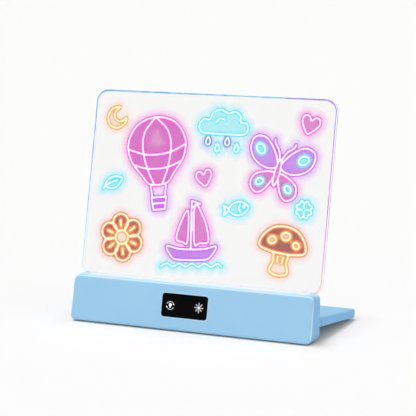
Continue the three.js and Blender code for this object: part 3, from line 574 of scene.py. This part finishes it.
def screw_tree(material):
    """A screw on every point: its head stands on it along the axis, and its shank goes the other way."""
    sizes = {
        "Head Radius": "Float", "Head Height": "Float", "Shank Radius": "Float", "Shank Length": "Float",
        "Axis": "Vector", "Seed": "Int",
    }
    t = Tree("screws", sizes)
    radius, height, thin, length, axis, seed = (t.given[label] for label in sizes)
    drum = t.add("GeometryNodeMeshCylinder", {
        "Vertices": 24, "Radius": radius, "Depth": t.times(height, 0.5)})
    head, top = t.raised(drum["Mesh"], t.times(height, 0.25)), drum["Top"]
    for rise, share in ((0.3, 0.9), (0.2, 0.8)):
        crown = t.add("GeometryNodeExtrudeMesh", {
            "Mesh": head, "Selection": top, "Offset Scale": t.times(height, rise)})
        head, top = crown["Mesh"], crown["Top"]
        head = t.add("GeometryNodeScaleElements", {"Geometry": head, "Selection": top, "Scale": share})[0]
    bars = []
    for across, along in ((1.2, 0.26), (0.26, 1.2)):
        size = t.add("ShaderNodeCombineXYZ", {
            "X": t.times(radius, across), "Y": t.times(radius, along), "Z": height})[0]
        bars.append(t.raised(t.add("GeometryNodeMeshCube", {"Size": size})["Mesh"], height))
    head = t.add("GeometryNodeMeshBoolean", {"Mesh 1": head, "Mesh 2": bars}, operation="DIFFERENCE")["Mesh"]
    core = t.add("GeometryNodeMeshCone", {
        "Vertices": 16, "Radius Top": t.times(thin, 0.3), "Radius Bottom": t.times(thin, 0.8),
        "Depth": length})["Mesh"]
    core = t.add("GeometryNodeTransform", {"Geometry": core, "Rotation": (math.pi, 0.0, 0.0)})[0]
    thread = t.add("GeometryNodeCurveSpiral", {
        "Resolution": 14, "Rotations": 7.0, "Start Radius": t.times(thin, 0.82),
        "End Radius": t.times(thin, 0.45), "Height": t.times(length, -0.92)})[0]
    ridge = t.add("GeometryNodeCurvePrimitiveCircle", {"Resolution": 4, "Radius": t.times(thin, 0.15)})[0]
    thread = t.add("GeometryNodeCurveToMesh", {"Curve": thread, "Profile Curve": ridge})[0]
    screw = t.add("GeometryNodeJoinGeometry", {"Geometry": [head, core, thread]})[0]
    facing = t.add("FunctionNodeAlignRotationToVector", {"Vector": axis}, axis="Z")[0]
    spin = t.add("FunctionNodeRandomValue", {"Min": 0.0, "Max": 1.5, "Seed": seed}, data_type="FLOAT")
    spin = t.add("FunctionNodeAxisAngleToRotation", {"Axis": (0.0, 0.0, 1.0), "Angle": spin["Value"]})[0]
    facing = t.add("FunctionNodeRotateRotation", {
        "Rotation": facing, "Rotate By": spin}, rotation_space="LOCAL")[0]
    points = t.add("GeometryNodeMeshToPoints", {"Mesh": t.given["Geometry"]})[0]
    set_in = t.add("GeometryNodeInstanceOnPoints", {
        "Points": points, "Instance": screw, "Rotation": facing})[0]
    return t.finish(set_in, material)


def screws(name, standing_for, tree, sizes, body):
    """Puts screws where the CAD has them. A screw's tip and middle give its axis, the same for all."""
    seats = []
    for node in standing_for:
        points = [v.co for v in nodes[node].data.vertices]
        middle = sum(points, Vector()) / len(points)
        tip = max(points, key=lambda p: (p - middle).length)
        axis = (middle - tip).normalized()
        seats.append(tip + axis * sizes["Shank Length"])
    host_mesh = bpy.data.meshes.new(f"{name}_seats")
    host_mesh.from_pydata(seats, [], [])
    host = put_in_scene(f"{name}_seats", host_mesh)
    modifier = host.modifiers.new("screws", "NODES")
    modifier.node_group = tree
    for socket in tree.interface.items_tree:
        value = {**sizes, "Axis": tuple(axis), "Seed": 5}.get(socket.name)
        if socket.in_out == "INPUT" and value is not None:
            modifier[socket.identifier] = value
    made = host.evaluated_get(bpy.context.evaluated_depsgraph_get())
    mesh = bpy.data.meshes.new_from_object(made)
    bpy.data.objects.remove(host)
    piece = new_piece(name, mesh, [], body)
    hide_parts(*standing_for)


steel_screws = screw_tree(steel)
screws("cover_screws", [f"cover_screw_{i}" for i in range(1, 6)], steel_screws, {
    "Head Radius": 2.1 * MM, "Head Height": 1.1 * MM, "Shank Radius": 1.2 * MM, "Shank Length": 9.0 * MM,
}, "bar")
screws("stand_screws", [f"stand_screw_{i}" for i in range(1, 5)], steel_screws, {
    "Head Radius": 2.0 * MM, "Head Height": 0.9 * MM, "Shank Radius": 1.0 * MM, "Shank Length": 4.2 * MM,
}, "stand")


# The clear sheet


def arc(x, y, radius, start, end, steps):
    turns = [math.radians(start + (end - start) * i / steps) for i in range(steps + 1)]
    return [(x + radius * math.cos(t), y + radius * math.sin(t)) for t in turns]


def rounded(middle, half, radius, steps):
    """A rounded rectangle about its middle, anticlockwise from its lower right corner."""
    (x, y), (wide, high) = middle, (half[0] - radius, half[1] - radius)
    corners = [(wide, -high, -90), (wide, high, 0), (-wide, high, 90), (-wide, -high, 180)]
    return [p for a, b, start in corners for p in arc(x + a, y + b, radius, start, start + 90, steps)]


def sheet_outline():
    """The sheet's outline anticlockwise: the tongue that goes down into the bar, then the round corners."""
    tongue = SHEET_HALF - SHEET_CORNER
    corners = rounded((0.0, SHEET_MIDDLE_UP), (SHEET_HALF, SHEET_HALF_UP), SHEET_CORNER, 14)
    return [(-tongue, -SHEET_TONGUE), (tongue, -SHEET_TONGUE), *corners]


def inset(outline, depth):
    """The outline moved inwards by a depth, corner by corner."""
    moved = []
    for i, (x, y) in enumerate(outline):
        before, after = Vector(outline[i - 1]), Vector(outline[(i + 1) % len(outline)])
        here = Vector((x, y))
        first, second = (here - before).normalized(), (after - here).normalized()
        inward = Vector((-first.y - second.y, first.x + second.x))
        inward /= max(inward.length_squared / 2, 0.5)
        moved.append(tuple(here + inward * depth))
    return moved


def join_rings(work, rings):
    """Faces between each ring of points and the next."""
    for near, far in zip(rings, rings[1:]):
        for i in range(len(near)):
            j = (i + 1) % len(near)
            work.faces.new((near[i], far[i], far[j], near[j]))


def slab(outline, thickness, chamfer):
    """A closed plate with chamfered rims, its front at y = 0. Its narrow sides take the second material."""
    work = bmesh.new()
    small = inset(outline, chamfer)
    levels = [(small, 0), (outline, chamfer), (outline, thickness - chamfer), (small, thickness)]
    rings = [[work.verts.new((x, y, z)) for x, z in path] for path, y in levels]
    join_rings(work, rings)
    for face in work.faces:
        face.material_index = 1
    front = work.faces.new(rings[0])
    back = work.faces.new(rings[-1][::-1])
    bmesh.ops.triangulate(work, faces=[front, back])
    bmesh.ops.recalc_face_normals(work, faces=work.faces)
    return work


sheet_mesh = mesh_of("drawing_sheet", slab(sheet_outline(), SHEET_THICKNESS, SHEET_CHAMFER), to_sheet)
sheet = new_piece("drawing_sheet", sheet_mesh, [clear_acrylic, acrylic_edge], "bar")
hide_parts("drawing_panel")
sheet.visible_shadow = False


# Marker drawings on the sheet's face. Paths are lists of points in millimetres, and each drawing has lines,
# with their colour and path, and washes, with their colour, strength and outline. STEP is how far apart a
# path's points are, and ROWS how far beside it the film has points, unless another line is nearer than
# ROW_CLEAR of that. FAN turns the points round an open end. A wash has points WASH_STEP apart, WASH_CLEAR or
# more from any line. The first film lies LIFT above the sheet and each next one LIFT_STEP more, so that no
# two share a plane.

MAGENTA = (240, 42, 216)
VIOLET = (202, 70, 240)
CYAN = (20, 228, 255)
BLUE = (60, 130, 255)
RED = (250, 66, 34)
ORANGE = (255, 140, 30)
WARM = (RED, ORANGE)
PLUM = (205, 70, 182)
LILAC = (182, 104, 226)
AQUA = (96, 226, 242)
BRICK = (150, 64, 50)
APRICOT = (252, 206, 186)
STEP = 1.1
ROWS = (0.7, 1.4, 2.2, 3.2, 4.6, 6.8, GLOW_REACH)
ROW_CLEAR = 0.86
FAN = np.linspace(-1.35, 1.35, 7)
WASH_STEP = 2.2
WASH_CLEAR = 2.7
LIFT = 0.03
LIFT_STEP = 0.008
EDGE_CLEAR = 1.6
TINY = 1e-9


def moved(path, x=0.0, y=0.0, size=1.0, turn=0.0):
    cos, sin = math.cos(math.radians(turn)) * size, math.sin(math.radians(turn)) * size
    return [(x + a * cos - b * sin, y + a * sin + b * cos) for a, b in path]


def oval(x, y, wide, high, turn=0.0):
    """A closed ellipse."""
    steps = max(10, round(math.pi * (wide + high) / STEP))
    turns = [math.radians(360 * i / steps) for i in range(steps + 1)]
    return moved([(wide * math.cos(t), high * math.sin(t)) for t in turns], x, y, turn=turn)


def flow(points, closed=False):
    """A smooth line through points."""
    pts = [Vector(p) for p in points]
    count = len(pts)
    path = []
    for i in range(count if closed else count - 1):
        a = pts[i - 1] if closed or i > 0 else pts[0]
        b, c = pts[i], pts[(i + 1) % count]
        d = pts[(i + 2) % count] if closed or i + 2 < count else c
        square, cube = 2 * a - 5 * b + 4 * c - d, 3 * b - a - 3 * c + d
        steps = max(2, round((c - b).length / STEP))
        for t in (k / steps for k in range(steps)):
            path.append(tuple(0.5 * (2 * b + (c - a) * t + square * t**2 + cube * t**3)))
    path.append(tuple(pts[0] if closed else pts[-1]))
    return path


def straight(points, closed=False):
    """Straight lines from point to point, with points set along them."""
    ends = [*points, points[0]] if closed else points
    path = []
    for (x0, y0), (x1, y1) in zip(ends, ends[1:]):
        steps = max(1, round(math.hypot(x1 - x0, y1 - y0) / STEP))
        path += [(x0 + (x1 - x0) * k / steps, y0 + (y1 - y0) * k / steps) for k in range(steps)]
    return [*path, ends[-1]]


def mirrored(path):
    return [(-x, y) for x, y in path]


def joined(path):
    return [*path, path[0]]


def inked(colour, *paths):
    return [(colour, path) for path in paths]


def balloon():
    top = flow([(0, 25), (15, 20.5), (23, 8), (21.5, -5), (13, -17), (6.5, -24), (-6.5, -24), (-13, -17),
                (-21.5, -5), (-23, 8), (-15, 20.5)], closed=True)
    seam = flow([(0, 25), (9.2, 15), (11.5, 3), (8.5, -12), (3.4, -24)])
    band = flow([(-22.7, 3), (-11.2, -1.4), (0, -2.6), (11.2, -1.4), (22.7, 3)])
    lower = flow([(-20, -8.4), (-10, -12), (0, -13), (10, -12), (20, -8.4)])
    basket = straight([(-6, -34), (6, -34), (4.6, -43), (-4.6, -43)], closed=True)
    weave = straight([(-5.4, -38.4), (5.4, -38.4)])
    ropes = [straight([(-6.2, -24.4), (-5.2, -34)]), straight([(6.2, -24.4), (5.2, -34)])]
    lines = [*inked(MAGENTA, top, seam, mirrored(seam), band, lower), *inked(VIOLET, basket, weave, *ropes)]
    return lines, [(PLUM, 0.86, top), (LILAC, 0.84, basket)]


def butterfly():
    upper = flow([(1.6, 3), (7, 14), (17, 22), (26, 20), (27, 11), (21, 3), (10, -0.5)], closed=True)
    lower = flow([(2, -3), (11, -4), (18.5, -9), (19, -17), (12.5, -21), (6, -15.5)], closed=True)
    spot = oval(18.6, 12.6, 4.3, 3.2, turn=38)
    small = oval(12.4, -12.2, 3.2, 2.4, turn=-40)
    feeler = flow([(0.8, 8.6), (3.6, 15), (8, 19.6), (9, 22.4)])
    body = oval(0, -2, 2.1, 10.4)
    half = [(VIOLET, upper), (MAGENTA, lower), (CYAN, spot), (CYAN, small), (VIOLET, feeler)]
    lines = [*half, *[(colour, mirrored(path)) for colour, path in half], (MAGENTA, body)]
    one_side = [(LILAC, 0.8, upper), (PLUM, 0.8, lower), (AQUA, 0.7, spot)]
    washes = [*one_side, *[(colour, share, mirrored(path)) for colour, share, path in one_side]]
    return lines, washes


def flower():
    lines, washes = [], []
    for i in range(6):
        petal = flow([(-3.4, 5.6), (-6.6, 11), (-5, 16.4), (0, 18.6), (5, 16.4), (6.6, 11), (3.4, 5.6)])
        petal = moved(petal, turn=60 * i)
        vein = moved(straight([(0, 9), (0, 13.4)]), turn=60 * i)
        lines += [(RED, petal), (ORANGE, vein)]
        washes.append((BRICK, 0.88, joined(petal)))
    middle = oval(0, 0, 5.4, 5.4)
    return [*lines, (ORANGE, middle)], [*washes, (APRICOT, 0.6, middle)]


def mushroom():
    cap = flow([(-19, 1), (-18, 8.5), (-10.5, 16.4), (0, 18.8), (10.5, 16.4), (18, 8.5), (19, 1), (10, -1.6),
                (0, -2.2), (-10, -1.6)], closed=True)
    stem = flow([(-6.4, -2.4), (-5.6, -9), (-7.6, -16.4), (-3, -19), (3, -19), (7.6, -16.4), (5.6, -9),
                 (6.4, -2.4)])
    spots = [oval(-9.4, 7, 3.2, 2.7, turn=24), oval(1.4, 11.4, 3.6, 2.9), oval(11, 5.8, 2.7, 2.3, turn=-24)]
    gills = [straight([(-2.4, -5), (-2, -9.6)]), straight([(2.4, -5), (2, -9.6)])]
    washes = [(BRICK, 0.88, cap), (APRICOT, 0.5, joined(stem))] + [(APRICOT, 0.6, spot) for spot in spots]
    return [(RED, cap), *inked(ORANGE, stem, *spots, *gills)], washes


def rain_cloud():
    cloud = flow([(-20, -7), (-23.4, -1.5), (-19.6, 4.2), (-13.6, 4.4), (-10.6, 10.6), (-3.4, 13.2),
                  (3.6, 10.2), (9.6, 12), (15, 8.6), (15.8, 3.2), (21.4, 2), (23, -3.6), (19.2, -7.2),
                  (8, -7.8), (-8, -7.8)], closed=True)
    fold = flow([(-7.4, 2.2), (-4, 5.6), (0.6, 4.8)])
    drop = flow([(0, 4.4), (2, 0.4), (1.5, -2), (0, -2.8), (-1.5, -2), (-2, 0.4)], closed=True)
    drops = [moved(drop, x, y) for x, y in ((-13.6, -15), (-4.4, -20.4), (4.6, -14.8), (13.8, -20))]
    lines = inked(CYAN, cloud, fold) + [(CYAN if i % 2 else BLUE, one) for i, one in enumerate(drops)]
    return lines, [(AQUA, 0.6, cloud)] + [(AQUA, 0.7, one) for one in drops]


def boat():
    hull = flow([(-21, -10), (-10, -12), (0, -12.4), (12, -12), (22, -10), (17, -18.4), (10, -20.6),
                 (-10, -20.6), (-16.4, -18.4)], closed=True)
    mast = straight([(0, -12), (0, 26)])
    big = flow([(3, 22.6), (10.5, 13), (14, 3), (15, -6.4), (8, -7.4), (3, -7)], closed=True)
    small = flow([(-3, 18), (-9, 9), (-12.6, -4), (-7, -6.6), (-3, -6.4)], closed=True)
    flag = straight([(0.4, 26), (7.4, 23.6), (0.4, 21)])
    wave = flow([(-26, -26), (-20.5, -23.6), (-15, -26), (-9.5, -23.6), (-4, -26), (1.5, -23.6), (7, -26),
                 (12.5, -23.6), (18, -26), (23.5, -23.6), (27, -25.6)])
    lines = [*inked(VIOLET, hull, mast), *inked(MAGENTA, big, small), (VIOLET, flag), (CYAN, wave)]
    return lines, [(LILAC, 0.84, hull), (PLUM, 0.8, big), (PLUM, 0.8, small)]


def crescent():
    moon = flow([(3.6, 9.2), (-4.6, 8.4), (-9.6, 1.6), (-8, -6.4), (-0.6, -10), (6.6, -7.2), (9, -2.4),
                 (2.6, -4.6), (-2.4, -0.8), (-1.8, 5)], closed=True)
    return [(ORANGE, moon)], [(APRICOT, 0.5, moon)]


def heart():
    path = flow([(0, 4), (3.6, 8), (8, 7), (9, 2), (5.6, -3.6), (0, -8.6), (-5.6, -3.6), (-9, 2), (-8, 7),
                 (-3.6, 8)], closed=True)
    return [(MAGENTA, path)], [(PLUM, 0.75, path)]


def leaf():
    blade = flow([(-11, -5), (-8, 3), (-1, 7), (6, 7.6), (12, 6), (9.6, 0.6), (5, -5), (-2.4, -8)],
                 closed=True)
    vein = flow([(-14, -9), (-11, -5), (-4, -0.6), (5, 3)])
    return inked(CYAN, blade, vein), [(AQUA, 0.6, blade)]


def fish():
    body = flow([(-11, 0), (-6, 5.4), (2, 6.8), (8.6, 3), (11, 0), (8.6, -3), (2, -6.8), (-6, -5.4)],
                closed=True)
    tail = flow([(-11, 0), (-16.6, 4.8), (-15.2, 0), (-16.6, -4.8)], closed=True)
    eye = oval(5.6, 1.2, 0.9, 0.9)
    gill = flow([(1.6, 4), (0.2, 0), (1.6, -4)])
    return inked(CYAN, body, tail, eye, gill), [(AQUA, 0.6, body), (AQUA, 0.7, tail)]


def clover():
    petal = flow([(-1.6, 1.6), (-5, 5.4), (-4, 9.4), (0, 8.4), (4, 9.4), (5, 5.4), (1.6, 1.6)])
    petals = [moved(petal, turn=90 * i + 45) for i in range(4)]
    return inked(CYAN, *petals), [(AQUA, 0.6, joined(one)) for one in petals]


# Each drawing's name, its design, its place from the middle of the sheet's foot, its size and its turn
DRAWINGS = [
    ("balloon", balloon, -50, 112, 1.2, 8),
    ("butterfly", butterfly, 66, 102, 1.1, -12),
    ("flower", flower, -77, 34, 1.12, 10),
    ("mushroom", mushroom, 76, 34, 1.1, -6),
    ("rain_cloud", rain_cloud, 12, 138, 1.0, 0),
    ("boat", boat, -10, 42, 1.1, 4),
    ("crescent", crescent, -92, 140, 0.95, 12),
    ("heart_large", heart, 92, 142, 0.9, -14),
    ("heart_small", heart, -2, 91, 0.8, 16),
    ("leaf", leaf, -90, 82, 0.7, 0),
    ("fish", fish, 33, 67, 0.85, 10),
    ("clover", clover, 93, 70, 0.75, 0),
]


def nearest(points, lines):
    """For each point, how far the nearest line is and which line that is."""
    best = np.full(len(points), np.inf)
    which = np.zeros(len(points), int)
    for i, (_, path) in enumerate(lines):
        track = np.array(path)
        start, step = track[:-1], np.diff(track, axis=0)
        length = np.maximum((step**2).sum(1), TINY)
        away = points[:, None, :] - start[None]
        share = np.clip((away * step).sum(2) / length, 0, 1)
        gap = np.sqrt(((away - share[..., None] * step) ** 2).sum(2)).min(1)
        nearer = gap < best
        best[nearer], which[nearer] = gap[nearer], i
    return best, which


def inside(points, outline):
    """Which points lie inside a closed outline."""
    ring = np.array(outline)
    x, y = points[:, 0:1], points[:, 1:2]
    x0, y0 = ring[:-1, 0], ring[:-1, 1]
    x1, y1 = ring[1:, 0], ring[1:, 1]
    crosses = (y0 > y) != (y1 > y)
    slope = np.where(y1 == y0, TINY, y1 - y0)
    return (crosses & (x < x0 + (y - y0) * (x1 - x0) / slope)).sum(1) % 2 == 1


def sideways(ahead):
    """Directions across a path, 1 long, from the directions along it."""
    ahead = ahead / np.maximum(np.hypot(*ahead.T), TINY)[:, None]
    return np.stack([-ahead[:, 1], ahead[:, 0]], 1)


def rows_along(path):
    """Points on a path and in rows beside it, and in a fan round its ends if it is open."""
    track = np.array(path)
    ahead = np.gradient(track, axis=0)
    ends = [(track[0], -ahead[0]), (track[-1], ahead[-1])]
    if np.hypot(*(track[0] - track[-1])) < SAME_POINT:
        ahead[0] = ahead[-1] = track[1] - track[-2]
        ends = []
    beside = sideways(ahead)
    rows = [(track, 0.0)]
    for row in ROWS:
        thin = 1 if row < 2 else 2
        rows += [(track[::thin] + side * beside[::thin] * row, row) for side in (1, -1)]
        for end, out in ends:
            turns = math.atan2(out[1], out[0]) + FAN
            rows.append((end + row * np.stack([np.cos(turns), np.sin(turns)], 1), row))
    return rows


def on_sheet(points):
    """Which points lie on the sheet's face, EDGE_CLEAR or more from its edge."""
    beside = np.abs(points[..., 0]) - (SHEET_HALF - SHEET_CORNER)
    above = np.abs(points[..., 1] - SHEET_MIDDLE_UP) - (SHEET_HALF_UP - SHEET_CORNER)
    return np.hypot(np.maximum(beside, 0), np.maximum(above, 0)) < SHEET_CORNER - EDGE_CLEAR


def drawing_mesh(name, lines, washes, lift):
    """A thin film over a drawing and its halo, with each point's distance from the lines and its colours."""
    points = [np.zeros((0, 2))]
    for _, path in lines:
        for row, reach in rows_along(path):
            gap, _ = nearest(row, lines)
            points.append(row[gap >= ROW_CLEAR * reach])
    for _, _, outline in washes:
        (x0, y0), (x1, y1) = np.min(outline, axis=0), np.max(outline, axis=0)
        grid = np.meshgrid(np.arange(x0, x1, WASH_STEP), np.arange(y0, y1, WASH_STEP))
        grid = np.stack(grid, -1).reshape(-1, 2)
        gap, _ = nearest(grid, lines)
        points.append(grid[inside(grid, outline) & (gap > WASH_CLEAR)])
    cloud = np.unique(np.round(np.concatenate(points), 2), axis=0)
    flat = [Vector(p) for p in cloud]
    flat, _, faces, *_ = delaunay_2d_cdt(flat, [], [], 0, 1e-4)
    cloud = np.array([tuple(p) for p in flat])
    reach, which = nearest(cloud, lines)
    faces = np.array(faces)
    middles = cloud[faces].mean(1)
    kept = nearest(middles, lines)[0] < GLOW_REACH
    for _, _, outline in washes:
        kept |= inside(middles, outline)
    kept &= on_sheet(cloud[faces]).all(1)
    used, faces = np.unique(faces[kept], return_inverse=True)
    faces = faces.reshape(-1, 3)
    cloud, reach, which = cloud[used], reach[used], which[used]

    colours = np.array([linear(*colour)[:3] + (float(colour in WARM),) for colour, _ in lines])
    line = colours[which]
    wash = np.column_stack([line[:, :3], np.zeros(len(line))])
    for colour, share, outline in washes:
        within = inside(cloud, outline)
        wash[within] = [*linear(*colour)[:3], share]
    work = bmesh.new()
    verts = [work.verts.new((x, -lift, z)) for x, z in cloud]
    for a, b, c in faces:
        work.faces.new((verts[a], verts[b], verts[c]))
    bmesh.ops.recalc_face_normals(work, faces=work.faces)
    mesh = mesh_of(name, work, to_sheet)
    mesh.attributes.new("reach", "FLOAT", "POINT").data.foreach_set("value", reach.astype(np.float32))
    for label, values in (("line", line), ("wash", wash)):
        mesh.attributes.new(label, "FLOAT_COLOR", "POINT").data.foreach_set("color", values.ravel())
    return mesh


for i, (name, design, x, y, size, turn) in enumerate(DRAWINGS):
    lines, washes = design()
    lines = [(colour, moved(path, x, y, size, turn)) for colour, path in lines]
    washes = [(colour, share, moved(path, x, y, size, turn)) for colour, share, path in washes]
    mesh = drawing_mesh(f"drawing_{name}", lines, washes, LIFT + LIFT_STEP * i)
    new_piece(f"drawing_{name}", mesh, [marker_ink], "bar").visible_shadow = False


# The touch window's symbols and its rim


PRINT_LIFT = 0.03


def strip(path, width):
    """A flat strip of even width along a path, as corner points and faces."""
    track = np.array(path)
    aside = sideways(np.gradient(track, axis=0)) * width / 2
    corners = np.concatenate([track + aside, track - aside])
    count = len(track)
    faces = [(i, i + 1, count + i + 1, count + i) for i in range(count - 1)]
    return corners, faces


def print_on_window(name, shapes, x, y):
    """Printed shapes, each one corner points and faces, as a thin film on the window's front."""
    work = bmesh.new()
    for corners, faces in shapes:
        verts = [work.verts.new((x + a, -PRINT_LIFT, y + b)) for a, b in corners]
        for face in faces:
            work.faces.new([verts[i] for i in face])
    bmesh.ops.recalc_face_normals(work, faces=work.faces)
    new_piece(name, mesh_of(name, work, to_front), [symbol_print], "bar")


def filled(path):
    return path, [tuple(range(len(path)))]


def colour_symbol():
    """A small lamp inside a ring of two chasing arrows."""
    radius, width = 3.4, 0.16
    ring, tips = [], []
    for start in (28, 208):
        ring.append(strip(arc(0, 0, radius, start, start + 130, 16), width))
        t = math.radians(start)
        ahead, side = Vector((math.sin(t), -math.cos(t))), Vector((math.cos(t), math.sin(t)))
        tips.append(filled([tuple(side * radius + p) for p in (side * -0.56, ahead * 1.2, side * 0.56)]))
    glass = flow([(0, 1.85), (1.05, 1.25), (1.1, 0.1), (0.5, -1.1), (0.36, -1.75), (-0.36, -1.75),
                  (-0.5, -1.1), (-1.1, 0.1), (-1.05, 1.25)], closed=True)[:-1]
    return [*ring, *tips, filled(glass)]


def brightness_symbol():
    """A sun: a disc with eight rays that widen outwards."""
    corners = ((0.9, -0.08), (4.2, -0.14), (4.4, 0.0), (4.2, 0.14), (0.9, 0.08))
    rays = [filled(moved(corners, turn=45 * i)) for i in range(8)]
    return [filled(arc(0, 0, 0.7, 0, 345, 23)), *rays]


print_on_window("symbol_colour", colour_symbol(), -17.52, 21.64)
print_on_window("symbol_brightness", brightness_symbol(), 9.79, 21.92)


def frame_round_window(name, profile, finish):
    """A ring round the window: each point of its section is how far out it lies and how far back."""
    work = bmesh.new()
    rings = []
    for grow, y in profile:
        half = [size / 2 + grow for size in WINDOW_SIZE]
        path = rounded(WINDOW_MIDDLE, half, WINDOW_CORNER + grow, 8)
        rings.append([work.verts.new((x, y, z)) for x, z in path])
    join_rings(work, [*rings, rings[0]])
    for face in work.faces:
        face.smooth = True
    bmesh.ops.recalc_face_normals(work, faces=work.faces)
    return new_piece(name, mesh_of(name, work, to_front), [finish], "bar")


GASKET_SECTION = [(-0.7, 0.02), (-0.7, -0.02), (0.2, -0.04), (0.64, -0.04), (0.64, 0.02)]
RIM_SECTION = [(0.58, 0.05), (0.58, -0.07), (0.7, -0.12), (1.15, -0.12), (1.35, -0.05), (1.35, 0.05)]
gasket = frame_round_window("window_gasket", GASKET_SECTION, black_gasket)
# The rim's paler plastic is a painted highlight round the window.
rim = frame_round_window("window_rim", RIM_SECTION, rim_plastic)


# The stage: a white surface, plain level light and the photograph's camera


# The ground under the object and under its bar, and how wide the soft steps of painted shade round them are
OBJECT_HALF = (113.0, 54.0)
BAR_GROUND_HALF = (110.0, 9.5)
BAR_GROUND_AWAY = -46.0
PAINTED_SHADE_REACH = 30.0
CONTACT_SHADOW_REACH = 3.5


def distance_from(across, away, half):
    """How far outside a rectangle about the origin a point on the ground lies, in millimetres."""
    beside, behind = (abs(across) - half[0]).at_least(0.0), (abs(away) - half[1]).at_least(0.0)
    return (beside * beside + behind * behind).root()


def backdrop_white(name):
    """White, shaded by the object, with duller painted shade beside it and a painted contact shadow under the
    bar's foot.
    """
    f = Finish(name)
    across, away, _ = (part * (1 / MM) for part in f.axes(f.place()))
    # Painted shade: the ground is painted duller and warmer near the object, fading out with distance from
    # it.
    open_ground = f.rise(distance_from(across, away, OBJECT_HALF), 0.0, PAINTED_SHADE_REACH)
    tone = f.blend(open_ground, (0.872, 0.84, 0.814, 1.0), (0.9, 0.901, 0.903, 1.0))
    # Painted contact shadow: the ground is painted darker just round the bar's foot.
    from_bar = distance_from(across, away - BAR_GROUND_AWAY, BAR_GROUND_HALF)
    tone = f.darker(tone, 0.64 + 0.36 * f.rise(from_bar, 0.0, CONTACT_SHADOW_REACH))
    lit = f.add("ShaderNodeBsdfDiffuse", {"Color": tone})
    # Painted light: the ground behind the object glows a little more where it is seen, which lightens the
    # object's shadow there.
    behind = f.rise(away, 50.0, 80.0) * (1 - f.rise(away, 80.0, 380.0))
    behind = behind * (1 - f.rise(abs(across), 60.0, 300.0))
    own = f.darker(WHITE, f.seen_directly() * (0.025 + 0.015 * behind))
    own = f.add("ShaderNodeEmission", {"Color": own})
    return f.finish(f.add("ShaderNodeAddShader", [lit, own]))


FLOOR_HALF = 30.0  # of its width, in metres

floor_mesh = bpy.data.meshes.new("floor")
corners = [(x * FLOOR_HALF, y * FLOOR_HALF, 0.0) for x, y in ((-1, -1), (1, -1), (1, 1), (-1, 1))]
floor_mesh.from_pydata(corners, [], [(0, 1, 2, 3)])
floor_mesh.materials.append(backdrop_white("white_surface"))
floor = put_in_scene("floor", floor_mesh)


def studio_light(name, level):
    """Even light from all round at one level, and plain white where it is seen directly or in a gloss."""
    f = Finish(name, bpy.data.worlds)
    lit = f.add("ShaderNodeBackground", {"Color": (1.08, 1.0, 0.91, 1.0), "Strength": level})
    white = f.add("ShaderNodeBackground", {"Color": WHITE})
    return f.finish(f.add("ShaderNodeMixShader", [f.seen_directly(), lit, white]), "World")


def sun(name, towards, strength, spread, colour=(1.0, 1.0, 1.0)):
    """A sun in a direction, its disc so many degrees wide."""
    data = bpy.data.lights.new(name, "SUN")
    data.energy = strength
    data.angle = math.radians(spread)
    data.color = colour
    light = put_in_scene(name, data)
    light.rotation_mode = "QUATERNION"
    light.rotation_quaternion = Vector(towards).to_track_quat("Z", "Y")


bpy.context.scene.world = studio_light("studio", 0.4)
sun("overhead", (-0.3, 0.14, 0.95), 1.32, 24, (0.94, 1.0, 1.07))
sun("front", (-0.1, -0.75, 0.7), 1.0, 40)
sun("right", (0.9, -0.25, 0.35), 0.4, 40)

# The photograph's view, as fitted to it: the camera looks down and comes from the object's right
CAMERA_DOWN = 9.347
CAMERA_ROUND = 24.991

camera_data = bpy.data.cameras.new("camera")
camera_data.sensor_width = 36
camera_data.lens = 152.1255
camera_data.clip_end = 50
camera = put_in_scene("camera", camera_data)
camera.location = (0.639225, -1.384458, 0.351662)
camera.rotation_euler = (math.radians(90 - CAMERA_DOWN), 0, math.radians(CAMERA_ROUND))
bpy.context.scene.camera = camera
bpy.context.scene.view_settings.view_transform = "Standard"
